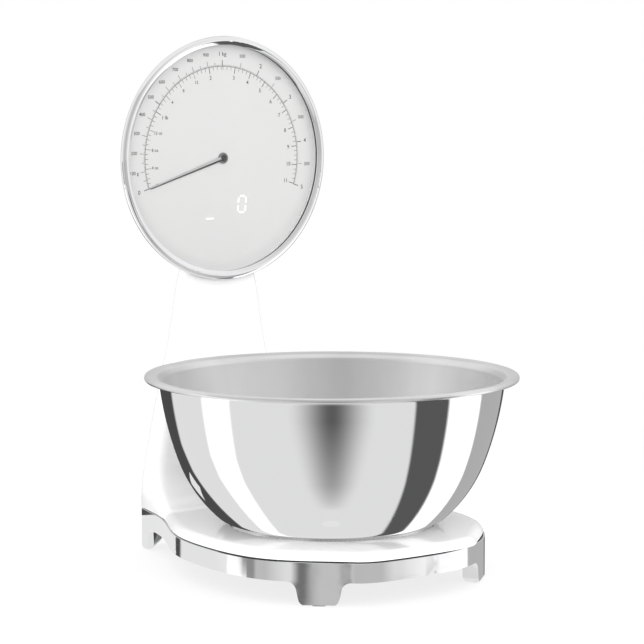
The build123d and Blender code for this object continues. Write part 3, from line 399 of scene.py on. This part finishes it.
tray_plastic = Finish("tray_plastic", {})
grain = tray_plastic.noise(0.0006, 3.0)
tray_plastic.set({"Base Color": tray_plastic.blend(grain, (0.02, 0.02, 0.02), (0.035, 0.035, 0.035)),
                  "Roughness": 0.45 + 0.15 * grain, "Normal": tray_plastic.bump(grain, 0.00003)})
dress(tray_plastic, "battery_tray", "main_board_posts")

COPPER_BAND = 0.0125                        # the copper coloured band at the plus end of a cell
BARE_CAP = 0.0018                           # the bare steel beyond it

cell_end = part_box("battery_cells")[1].x
cell_jacket = Finish("cell_jacket", {"Metallic": 0.7})
along = cell_jacket.position()[0]
cap_end = cell_jacket.soft(along, cell_end - COPPER_BAND, cell_end - COPPER_BAND + 0.0003)
bare_end = cell_jacket.soft(along, cell_end - BARE_CAP, cell_end - BARE_CAP + 0.0002)
jacket = cell_jacket.blend(cap_end, (0.03, 0.035, 0.05), (0.60, 0.33, 0.14))
cell_jacket.set({"Base Color": cell_jacket.blend(bare_end, jacket, (0.75, 0.74, 0.70)),
                 "Roughness": 0.25 + 0.1 * cell_jacket.noise(0.004)})
dress(cell_jacket, "battery_cells")

nickel = Finish("nickel_plating", {"Metallic": 1.0, "Base Color": (0.78, 0.75, 0.69)})
nickel.set({"Roughness": 0.18 + 0.2 * nickel.noise(0.002, 4.0)})
dress(nickel, "battery_contacts")


# ---------------------------------------------------------------- load cell and the spider over it
# A milled aluminium bar bends under the load. It is screwed to the floor over a spacer and carries a cast
# aluminium spider, which spreads the load under the plate.

milled = Finish("milled_aluminium", {"Metallic": 1.0, "Base Color": (0.80, 0.81, 0.83)})
cutter = milled.noise(0.0004, 2.0, (1.0, 0.05, 1.0))
milled.set({"Roughness": 0.22 + 0.15 * cutter, "Normal": milled.bump(cutter, 0.00001)})
dress(milled, "load_cell", "load_cell_spacer")

cast_grey = Finish("cast_aluminium", {"Metallic": 1.0, "Base Color": (0.60, 0.61, 0.63)})
skin = cast_grey.noise(0.0012, 5.0)
cast_grey.set({"Roughness": 0.40 + 0.2 * skin, "Normal": cast_grey.bump(skin, 0.00008)})
dress(cast_grey, "platform_spider")


# ---------------------------------------------------------------- circuit boards and the cable between them
# Two glass fibre boards under green lacquer, with copper runs below it. A grey flat cable with one red edge
# joins them up inside the column.

RUN_PITCH = 0.0016                          # from one copper run to the next
WIRE_PITCH = 0.001                          # from one wire of the flat cable to the next

board_green = Finish("board_lacquer", {})
spot = board_green.place((1 / RUN_PITCH, 1 / RUN_PITCH, 1 / RUN_PITCH))
runs = board_green.node("ShaderNodeTexBrick", {"offset": 0.37, "squash": 0.6},
                        {"Vector": spot, "Scale": 1.0, "Mortar Size": 0.14, "Mortar Smooth": 0.4,
                         "Brick Width": 3.1, "Row Height": 1.0}, "Fac")
board_green.set({"Base Color": board_green.blend(runs, (0.012, 0.10, 0.045), (0.03, 0.20, 0.08)),
                 "Roughness": 0.28 + 0.1 * runs, "Normal": board_green.bump(runs, 0.00003)})
dress(board_green, "main_board", "display_board")

chip_black = Finish("chip_black", {"Base Color": (0.02, 0.02, 0.022)})
grain = chip_black.noise(0.0003, 3.0)
chip_black.set({"Roughness": 0.45 + 0.2 * grain, "Normal": chip_black.bump(grain, 0.00002)})
dress(chip_black, "main_board_chips", "display_module")

cable_low, cable_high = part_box("ribbon_cable")
ribbon = Finish("flat_cable", {})
across = ribbon.position()[0]
wires = ribbon.node("ShaderNodeMath", {"operation": "PINGPONG"},
                    {0: (across - cable_low.x) / WIRE_PITCH, 1: 0.5})
red_edge = ribbon.soft(across, cable_high.x - 1.1 * WIRE_PITCH, cable_high.x - 0.9 * WIRE_PITCH)
ribbon.set({"Base Color": ribbon.blend(red_edge, (0.42, 0.42, 0.44), (0.55, 0.05, 0.04)),
            "Roughness": 0.4 + 0.1 * wires, "Normal": ribbon.bump(wires, 0.0003)})
dress(ribbon, "ribbon_cable")

socket_white = Finish("socket_white", {})
grain = socket_white.noise(0.0008)
socket_white.set({"Base Color": socket_white.blend(grain, (0.72, 0.71, 0.66), (0.80, 0.79, 0.74)),
                  "Roughness": 0.4 + 0.15 * grain})
dress(socket_white, "display_connector")


# ---------------------------------------------------------------- plate under the bowl
# A plate pressed from stainless steel and brushed round and round. It lies on the spider, with its lip turned
# down over it.

BRUSH_LINE = 0.0003                         # width of a brushed line on the plate

plate_steel = Finish("plate_steel", {"Metallic": 1.0})
plate_low, plate_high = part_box("platform_plate")
bowl_y = (plate_low.y + plate_high.y) / 2
east, north = plate_steel.position()[:2]
north = north - bowl_y
away = (east * east + north * north) ** 0.5
lines = plate_steel.node("ShaderNodeTexNoise", {"noise_dimensions": "1D"},
                         {"W": away / BRUSH_LINE, "Scale": 1.0, "Detail": 3.0})
plate_steel.set({"Base Color": plate_steel.blend(lines, (0.60, 0.60, 0.61), (0.75, 0.75, 0.76)),
                 "Roughness": 0.22 + 0.2 * lines, "Normal": plate_steel.bump(lines, 0.00001)})
polished_copy("platform_plate", "platform", plate_steel)


# ---------------------------------------------------------------- casting, rear cover and back of the head
# Base cover and column are one casting under thick, glossy white enamel. The cover at the rear of the column
# and the domed pan behind the dial have the same enamel.

enamel = Finish("white_enamel", {"Coat Weight": 0.5, "Coat Roughness": 0.04})
cloud = enamel.noise(0.05, 3.0)
peel = enamel.noise(0.004, 2.0)
enamel.set({"Base Color": enamel.blend(cloud, (0.90, 0.90, 0.895), (0.93, 0.93, 0.93)),
            "Roughness": 0.14 + 0.08 * cloud, "Normal": enamel.bump(peel, 0.00002)})
polished_copy("body_shell", "stand", enamel)
polished_copy("head_pan", "stand", enamel)
dress(enamel, "column_back_cover")


# ---------------------------------------------------------------- bowl
# The loose bowl is spun from stainless steel sheet and its rim rolled outwards. The outside is polished to a
# mirror, and the inside is left with the fine round lines of a satin finish.

BASE_RADIUS = 0.0689
WALL_ARCS = [(0.0164, 41.7), (0.0951, 69.3), (0.2324, 83.2)]    # radius, and the slope where the arc ends
ROLL = 0.0019                               # radius of the rolled rim
SHEET = 0.001
FLARE = 0.0032                              # how far the neck leans out up to the roll
MID_BASE = 0.03                             # radius of one more ring of corners on the flat base
ARC_POINTS, BEAD_POINTS = 40, 40
BEAD_OUTSIDE = 16                           # the satin starts this many points round the bead
SATIN_LINE = 0.0002
SPIN_STEPS = 288


def arc(centre_x, centre_z, radius, start, end, count):
    """Points (x, z) on a circle from one angle to another, in degrees from the +x axis."""
    angle = np.radians(np.linspace(start, end, count))
    return np.stack([centre_x + radius * np.cos(angle), centre_z + radius * np.sin(angle)], -1)


def along_profile(profile):
    """The distance along a profile of points, from its start."""
    return np.concatenate([[0.0], np.cumsum(np.linalg.norm(np.diff(profile, axis=0), axis=1))])


def lathe(name, profile, centre, finish, steps):
    """A closed profile of (radius, height) turned about an upright axis through centre."""
    angle = np.linspace(0, 2 * np.pi, steps, endpoint=False)[None, :]
    radius, height = profile[:, 0][:, None], profile[:, 1][:, None]
    east, north = radius * np.cos(angle), radius * np.sin(angle)
    points = np.stack([east, north, np.broadcast_to(height, east.shape)], -1) + np.asarray(centre)
    faces = quads(len(profile), steps)
    return new_piece(name, points, faces, finish, merge=1e-7)


def bowl_wall(inset):
    """Three arcs that run into each other, from the flat base up to the neck, set inwards by inset. Each
    arc's centre lies one radius away from its start, square to the slope there."""
    x, z, slope = BASE_RADIUS, inset, 0.0
    wall = []
    for radius, end in WALL_ARCS:
        radius -= inset
        centre_x = x - radius * math.sin(math.radians(slope))
        centre_z = z + radius * math.cos(math.radians(slope))
        wall.append(arc(centre_x, centre_z, radius, slope - 90, end - 90, ARC_POINTS))
        (x, z), slope = wall[-1][-1], end
    return np.concatenate(wall)


bowl_low, bowl_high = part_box("bowl")
rim_radius = (bowl_high.x - bowl_low.x) / 2
roll_x, roll_z = rim_radius - ROLL, bowl_high.z - bowl_low.z - ROLL
outside, inside = bowl_wall(0.0), bowl_wall(SHEET)[::-1]
neck, neck_in = outside[-1], inside[0]
flare = neck + np.array([[0.0004, 0.0011], [0.0009, 0.0021], [0.0018, 0.0029], [FLARE, roll_z - neck[1]]])
turn_in = np.array([[neck[0] + FLARE, roll_z + SHEET], [neck[0] + FLARE / 2, roll_z + 0.6 * SHEET],
                    [neck[0] + 0.0003, neck[1] + 0.0029], [neck_in[0] + 0.0001, neck_in[1] + 0.0012]])
bead = arc(roll_x, roll_z, ROLL, 180, 450, BEAD_POINTS)
bowl_profile = np.concatenate([[[0, 0], [MID_BASE, 0]], outside, flare, bead, turn_in, inside,
                               [[MID_BASE, SHEET], [0, SHEET]]])
inside_from = 2 + len(outside) + len(flare) + BEAD_OUTSIDE
bowl_steel = Finish("bowl_steel", {"Metallic": 1.0})
satin, path = bowl_steel.attribute("satin"), bowl_steel.attribute("path")
lines = bowl_steel.node("ShaderNodeTexNoise", {"noise_dimensions": "1D"},
                        {"W": path / SATIN_LINE, "Scale": 1.0, "Detail": 2.0})
wipe = bowl_steel.noise(0.03, 3.0)
streak = bowl_steel.noise(0.05, 4.0, (1.0, 1.0, 0.25))
dull = bowl_steel.blend(streak, (0.62, 0.62, 0.62), (0.94, 0.94, 0.94))
bowl_steel.set({"Base Color": bowl_steel.blend(satin, (0.90, 0.90, 0.905), dull),
                "Roughness": 0.03 + 0.02 * wipe + satin * (0.24 + 0.06 * lines),
                "Normal": bowl_steel.bump(lines * satin, 0.000004)})
bowl_middle = (0.0, bowl_y, bowl_low.z)
bowl = lathe("steel_bowl", bowl_profile, bowl_middle, bowl_steel, SPIN_STEPS)

# Every corner of the bowl stores how satin it is and how far along the profile it lies.
places = corners_of(bowl.data) - np.array(bowl_middle)
radial = np.hypot(places[:, 0], places[:, 1])
distance = np.hypot(bowl_profile[:, 0][None, :] - radial[:, None],
                    bowl_profile[:, 1][None, :] - places[:, 2][:, None])
nearest = distance.argmin(1)
satin_share = np.clip((nearest - inside_from) / 4.0, 0, 1)
path_length = along_profile(bowl_profile)[nearest]
for label, values in (("satin", satin_share), ("path", path_length)):
    bowl.data.attributes.new(label, "FLOAT", "POINT").data.foreach_set("value", values.astype(np.float32))
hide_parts("bowl")
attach(bowl, "bowl")


# ---------------------------------------------------------------- steel strap between column and head
# A flat strap of zinc plated steel inside the neck ties the head to the column.
# Screws hold it to both.

strap_zinc = Finish("strap_zinc", {"Metallic": 1.0})
rolled = strap_zinc.noise(0.001, 3.0, (1.0, 1.0, 0.1))
strap_zinc.set({"Base Color": strap_zinc.blend(rolled, (0.52, 0.52, 0.50), (0.64, 0.64, 0.62)),
                "Roughness": 0.3 + 0.15 * rolled})
dress(strap_zinc, "head_bracket")


# ---------------------------------------------------------------- ring round the dial
# A turned and plated brass ring snaps over the tongue of the pan. It is rounded outside and has a narrow
# bevel inside, where it holds the lens.

bezel_plating = Finish("bezel_plating", {"Base Color": (0.95, 0.95, 0.96), "Metallic": 1.0})
bezel_plating.set({"Roughness": 0.04 + 0.04 * bezel_plating.noise(0.02, 4.0)})
polished_copy("bezel_ring", "stand", bezel_plating)


# ---------------------------------------------------------------- lens
# A flat disc of clear glass, bright only where it mirrors the light. It lies in the ring round the dial, with
# a rubber gasket behind it.

lens_glass = Finish("lens_glass", {})
clear = lens_glass.node("ShaderNodeBsdfTransparent", {}, {"Color": (0.99, 0.99, 0.99)})
sheen = lens_glass.node("ShaderNodeBsdfGlossy", {}, {"Color": (1.0, 1.0, 1.0), "Roughness": 0.02})
edge_on = lens_glass.node("ShaderNodeFresnel", {}, {"IOR": 1.45})
lens_glass.show(lens_glass.node("ShaderNodeMixShader", {}, {0: edge_on * 0.6, 1: clear, 2: sheen}))
dress(lens_glass, "lens")


# ---------------------------------------------------------------- dial face
# A disc of white film on a moulded white carrier, with a spacer ring between it and the lens. Behind it lie
# the copper foil that feels a finger and the motor of the pointer. A digit glows through the film.

face_low, face_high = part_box("dial_face")
hub_z = (face_low.z + face_high.z) / 2
face_radius = (face_high.z - face_low.z) / 2
PAINTED_SHADE_FROM = 0.86                       # share of the radius from which the film is shaded

dial_white = Finish("dial_film", {})
east, _, up = dial_white.position()
up = up - hub_z
away = (east * east + up * up) ** 0.5
# Painted shade: the film is painted darker towards its rim, where the ring round the dial shades it.
painted_rim_shade = dial_white.soft(away, PAINTED_SHADE_FROM * face_radius, face_radius)
dial_white.set({"Base Color": dial_white.blend(painted_rim_shade, (0.83, 0.83, 0.825), (0.74, 0.74, 0.74)),
                "Roughness": 0.45 + 0.1 * dial_white.noise(0.0008)})
dress(dial_white, "dial_face")

spacer_white = Finish("spacer_white", {})
grain = spacer_white.noise(0.001)
spacer_white.set({"Base Color": spacer_white.blend(grain, (0.80, 0.80, 0.79), (0.86, 0.86, 0.85)),
                  "Roughness": 0.45 + 0.1 * grain})
dress(spacer_white, "dial_spacer_ring", "dial_carrier")

touch_copper = Finish("touch_copper", {"Metallic": 1.0})
cloud = touch_copper.noise(0.004, 4.0)
touch_copper.set({"Base Color": touch_copper.blend(cloud, (0.72, 0.36, 0.20), (0.82, 0.46, 0.28)),
                  "Roughness": 0.25 + 0.2 * cloud})
dress(touch_copper, "touch_foil")

motor_black = Finish("motor_black", {})
grain = motor_black.noise(0.0006, 3.0)
motor_black.set({"Base Color": motor_black.blend(grain, (0.02, 0.02, 0.022), (0.035, 0.035, 0.038)),
                 "Roughness": 0.4 + 0.2 * grain})
dress(motor_black, "pointer_motor")


# ---------------------------------------------------------------- print on the dial
# An arc, its graduations and the numbers of two scales, kilograms outside and pounds inside. They are black
# ink, screen printed on the film a few hundredths of a millimetre thick.

PRINT_FRONT = face_low.y - 0.00004
PRINT_BACK = face_low.y + 0.00001
POUNDS = 2.2046                             # pounds in a kilogram
SWEEP = 108.0                               # degrees from the top of the dial to either end of the scales
STOPS = [-SWEEP, 0.0, SWEEP]                # where 0, 1 and 5 kg stand


def dial_point(angle, radius):
    """The place (x, z) on the dial at an angle in degrees clockwise from the top."""
    angle = np.radians(angle)
    return np.stack([radius * np.sin(angle), hub_z + radius * np.cos(angle)], -1)


def strokes(marks):
    """Thin printed bars. Each mark is (angle, inner radius, outer radius, width): a box whose long side lies
    along the radius. Returns points and quads of all the bars."""
    angle, inner, outer, width = np.asarray(marks, float).T
    side = np.stack([np.cos(np.radians(angle)), -np.sin(np.radians(angle))], -1) * width[:, None] / 2
    low, high = dial_point(angle, inner), dial_point(angle, outer)
    corners = np.stack([low - side, low + side, high + side, high - side], 1)
    depth = np.array([PRINT_FRONT, PRINT_BACK])
    points = np.zeros((len(marks), 2, 4, 3))
    points[..., 0] = corners[:, None, :, 0]
    points[..., 2] = corners[:, None, :, 1]
    points[..., 1] = depth[None, :, None]
    box_faces = np.array([(0, 1, 2, 3), (7, 6, 5, 4), (0, 4, 5, 1), (1, 5, 6, 2), (2, 6, 7, 3), (3, 7, 4, 0)])
    faces = (np.arange(len(marks))[:, None, None] * 8 + box_faces[None]).reshape(-1, 4)
    return points.reshape(-1, 3), faces


def printed_arc(start, end, inner, outer):
    """A printed line along the arc: a thin bar with a rectangular section that follows it."""
    angle = np.linspace(start, end, 181)
    section = [(inner, PRINT_FRONT), (outer, PRINT_FRONT), (outer, PRINT_BACK), (inner, PRINT_BACK)]
    rings = []
    for radius, depth in section:
        flat = dial_point(angle, radius)
        rings.append(np.stack([flat[:, 0], np.full(len(angle), depth), flat[:, 1]], -1))
    points = np.stack(rings, 1).reshape(-1, 3)
    last = len(points) - 4
    caps = np.array([(3, 2, 1, 0), (last, last + 1, last + 2, last + 3)])
    return points, np.concatenate([quads(len(angle), 4), caps])


def kilo_angle(kilos):
    """Degrees from the top of the dial. The first kilogram takes the left half, the other four the right."""
    return np.interp(kilos, [0, 1, 5], STOPS)


def pound_angle(pounds):
    """The same in pounds."""
    return np.interp(pounds, [0, POUNDS, 5 * POUNDS], STOPS)


LINE_R = 0.0664                             # radius of the arc that both scales share
BOLD, FINE = 0.00055, 0.0003                # widths and lengths of the kilogram marks
LONG, SHORT = 0.0045, 0.0028
POUND_BOLD, POUND_FINE, POUND_SHORT = 0.0005, 0.00028, 0.0025
TEETH = 240                                 # the fine marks that thicken the arc
TOOTH_WIDTH, TOOTH_IN, TOOTH_OUT = 0.00026, 0.0003, 0.0011
LINE_HALF = 0.00012                         # half the width of the arc

marks = []
for step in range(21):
    long = step % 2 == 0
    bold = step in (0, 10, 20)
    outer = LINE_R + (LONG if long else SHORT)
    marks.append((kilo_angle(step * 0.05), LINE_R, outer, BOLD if bold else FINE))
for step in range(1, 9):
    bold = step % 2 == 0
    marks.append((kilo_angle(1 + step * 0.5), LINE_R, LINE_R + LONG, BOLD if bold else FINE))
for step in range(36):
    long = step % 4 == 0
    bold = step % 16 == 0
    inner = LINE_R - (LONG if long else POUND_SHORT)
    marks.append((pound_angle(step / 16), inner, LINE_R, POUND_BOLD if bold else POUND_FINE))
for step in range(9, 45):
    long = step % 4 == 0
    inner = LINE_R - (LONG if long else POUND_SHORT)
    marks.append((pound_angle(step / 4), inner, LINE_R, POUND_BOLD if long else POUND_FINE))
for step in range(1, TEETH):
    marks.append((-SWEEP + 2 * SWEEP * step / TEETH, LINE_R - TOOTH_IN, LINE_R + TOOTH_OUT, TOOTH_WIDTH))
print_points, print_faces = strokes(marks)
arc_points, arc_faces = printed_arc(-SWEEP, SWEEP, LINE_R - LINE_HALF, LINE_R + LINE_HALF)
dial_ink = Finish("dial_ink", {})
grain = dial_ink.noise(0.0003)
dial_ink.set({"Base Color": dial_ink.blend(grain, (0.025, 0.025, 0.027), (0.045, 0.045, 0.047)),
              "Roughness": 0.5 + 0.1 * grain})
all_points = np.concatenate([print_points, arc_points])
all_faces = np.concatenate([print_faces, arc_faces + len(print_points)])
graduations = new_piece("dial_graduations", all_points, all_faces, dial_ink, smooth=False)

FONT_SIZE = 1.48                            # the font's size over the height of its figures
INK_SPREAD = 0.00003


def lettering(words):
    """The flat letters of each (text, angle, radius, height), upright round the dial, as one mesh."""
    points, faces, start = [], [], 0
    for text, angle, radius, height in words:
        line = bpy.data.curves.new("line", "FONT")
        line.body = text
        line.size = height * FONT_SIZE
        line.offset = INK_SPREAD
        line.align_x = "CENTER"
        line.align_y = "CENTER"
        line.resolution_u = 3
        line.extrude = (PRINT_BACK - PRINT_FRONT) / 2
        holder = bpy.data.objects.new("line", line)
        bpy.context.scene.collection.objects.link(holder)
        flat = bpy.data.meshes.new_from_object(holder.evaluated_get(bpy.context.evaluated_depsgraph_get()))
        letters = corners_of(flat)
        x, z = dial_point(angle, radius)
        middle = (PRINT_BACK + PRINT_FRONT) / 2
        points.append(np.stack([letters[:, 0] + x, middle - letters[:, 2], letters[:, 1] + z], -1))
        faces.extend([[start + corner for corner in polygon.vertices] for polygon in flat.polygons])
        start += len(letters)
        bpy.data.objects.remove(holder)
        bpy.data.meshes.remove(flat)
        bpy.data.curves.remove(line)
    return np.concatenate(points), faces


# Outside the arc stand the kilograms, and inside it the ounces and pounds.
words = [("0", kilo_angle(0), 0.0752, 0.0028), ("100 g", kilo_angle(0.1), 0.0762, 0.0023)]
words += [("1 kg", kilo_angle(1), 0.0752, 0.0028)]
words += [(str(100 * step), kilo_angle(step / 10), 0.0757, 0.0023) for step in range(2, 10)]
words += [("500", kilo_angle(1.5 + step), 0.0757, 0.0023) for step in range(4)]
words += [(str(step), kilo_angle(step), 0.0745, 0.0030) for step in range(2, 6)]
words += [(f"{ounces} oz", pound_angle(ounces / 16), 0.0585, 0.0021) for ounces in (4, 8, 12)]
words += [(str(ounces), pound_angle(1 + ounces / 16), 0.0592, 0.0021) for ounces in (4, 8, 12)]
words += [("0", pound_angle(0), 0.0592, 0.0021), ("1 lb", pound_angle(1), 0.0578, 0.0025)]
words += [(str(step), pound_angle(step), 0.0588, 0.0027) for step in range(2, 12)]
letter_points, letter_faces = lettering(words)
numbers = new_piece("dial_numbers", letter_points, letter_faces, dial_ink, merge=1e-7, smooth=False)
for piece in (graduations, numbers):
    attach(piece, "stand")


# ---------------------------------------------------------------- lit digit and lit line
# The module behind the dial lights six segments of a digit, which read as a nought, and a short line. They
# glow white through the film, and are modelled as thin lit bars on it.

def segment(start, end, width):
    """A lit bar with pointed ends between two places (x, z) on the dial, as a closed prism."""
    start, end = np.asarray(start, float), np.asarray(end, float)
    way = (end - start) / np.linalg.norm(end - start)
    side = np.array([-way[1], way[0]]) * width / 2
    tip = way * width / 2
    outline = np.array([start, start + tip + side, end - tip + side,
                        end, end - tip - side, start + tip - side])
    front = np.stack([outline[:, 0], np.full(6, PRINT_FRONT), outline[:, 1]], -1)
    back = front + np.array([0.0, PRINT_BACK - PRINT_FRONT, 0.0])
    faces = [list(range(6)), list(range(11, 5, -1))]
    faces += [[i, i + 6, (i + 1) % 6 + 6, (i + 1) % 6] for i in range(6)]
    return np.concatenate([front, back]), faces


DIGIT_X, DIGIT_Z = 0.0168, hub_z - 0.0340
DIGIT_W, DIGIT_H, BAR = 0.0066, 0.0118, 0.0012
LEAN, BAR_GAP = 0.0006, 0.0009              # the digit leans to the right, and its bars don't quite meet
LIT_LINE = ((-0.0150, hub_z - 0.0437), (-0.0080, hub_z - 0.0437), 0.0009)

left, right = DIGIT_X - DIGIT_W / 2, DIGIT_X + DIGIT_W / 2
top, low = DIGIT_Z + DIGIT_H / 2, DIGIT_Z - DIGIT_H / 2
bars = [((left + BAR_GAP + LEAN, top), (right - BAR_GAP + LEAN, top), BAR),
        ((left + BAR_GAP - LEAN, low), (right - BAR_GAP - LEAN, low), BAR)]
for x in (left, right):
    bars += [((x + LEAN, top - BAR_GAP), (x, DIGIT_Z + BAR_GAP), BAR),
             ((x, DIGIT_Z - BAR_GAP), (x - LEAN, low + BAR_GAP), BAR)]
lit_points, lit_faces = [], []
for start, end, width in [*bars, LIT_LINE]:
    points, faces = segment(start, end, width)
    lit_faces += [[len(lit_points) * 12 + corner for corner in face] for face in faces]
    lit_points.append(points)
digit_glow = Finish("digit_glow", {"Base Color": (1.0, 1.0, 1.0), "Emission Color": (1.0, 1.0, 1.0),
                                   "Emission Strength": 0.5})
digit_glow.set({"Roughness": 0.4 + 0.1 * digit_glow.noise(0.001)})
digit = new_piece("lit_digit", np.concatenate(lit_points), lit_faces, digit_glow, smooth=False)
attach(digit, "stand")


# ---------------------------------------------------------------- pointer
# A folded steel blade on a black hub. Its flanks are coloured by the way they face: a light grey painted
# highlight on the upper flank and near black painted shade on the lower. The hub is pressed on the motor's
# ground shaft under a small steel cap.

blade_steel = Finish("blade_steel", {"Metallic": 0.4})
LOWER_FLANK = (0.309, -0.2, -0.951)         # where the lower flank of the blade faces at rest

face_way = blade_steel.node("ShaderNodeTexCoord", output="Normal")
lower = blade_steel.node("ShaderNodeVectorMath", {"operation": "DOT_PRODUCT"},
                         {0: face_way, 1: LOWER_FLANK}, "Value")
# Painted light: faces turned like the lower flank get near black painted shade, the others a light grey
# painted highlight.
painted_highlight = 1 - blade_steel.soft(lower, -0.05, 0.15)
grain = blade_steel.noise(0.0006)
blade_steel.set({"Base Color": blade_steel.blend(painted_highlight, (0.015, 0.015, 0.015), (0.55, 0.55, 0.55)),
                 "Roughness": 0.3 + 0.1 * grain})
dress(blade_steel, "pointer_blade")

hub_black = Finish("hub_black", {"Metallic": 0.9, "Base Color": (0.22, 0.22, 0.22)})
hub_black.set({"Roughness": 0.2 + 0.2 * hub_black.noise(0.001)})
dress(hub_black, "pointer_hub")

cap_steel = Finish("cap_steel", {"Metallic": 0.9, "Base Color": (0.05, 0.05, 0.05)})
cap_steel.set({"Roughness": 0.2 + 0.15 * cap_steel.noise(0.001)})
dress(cap_steel, "pointer_cap")

ground_steel = Finish("ground_steel", {"Metallic": 1.0, "Base Color": (0.70, 0.70, 0.70)})
ground_steel.set({"Roughness": 0.15 + 0.15 * ground_steel.noise(0.0005)})
dress(ground_steel, "pointer_shaft")
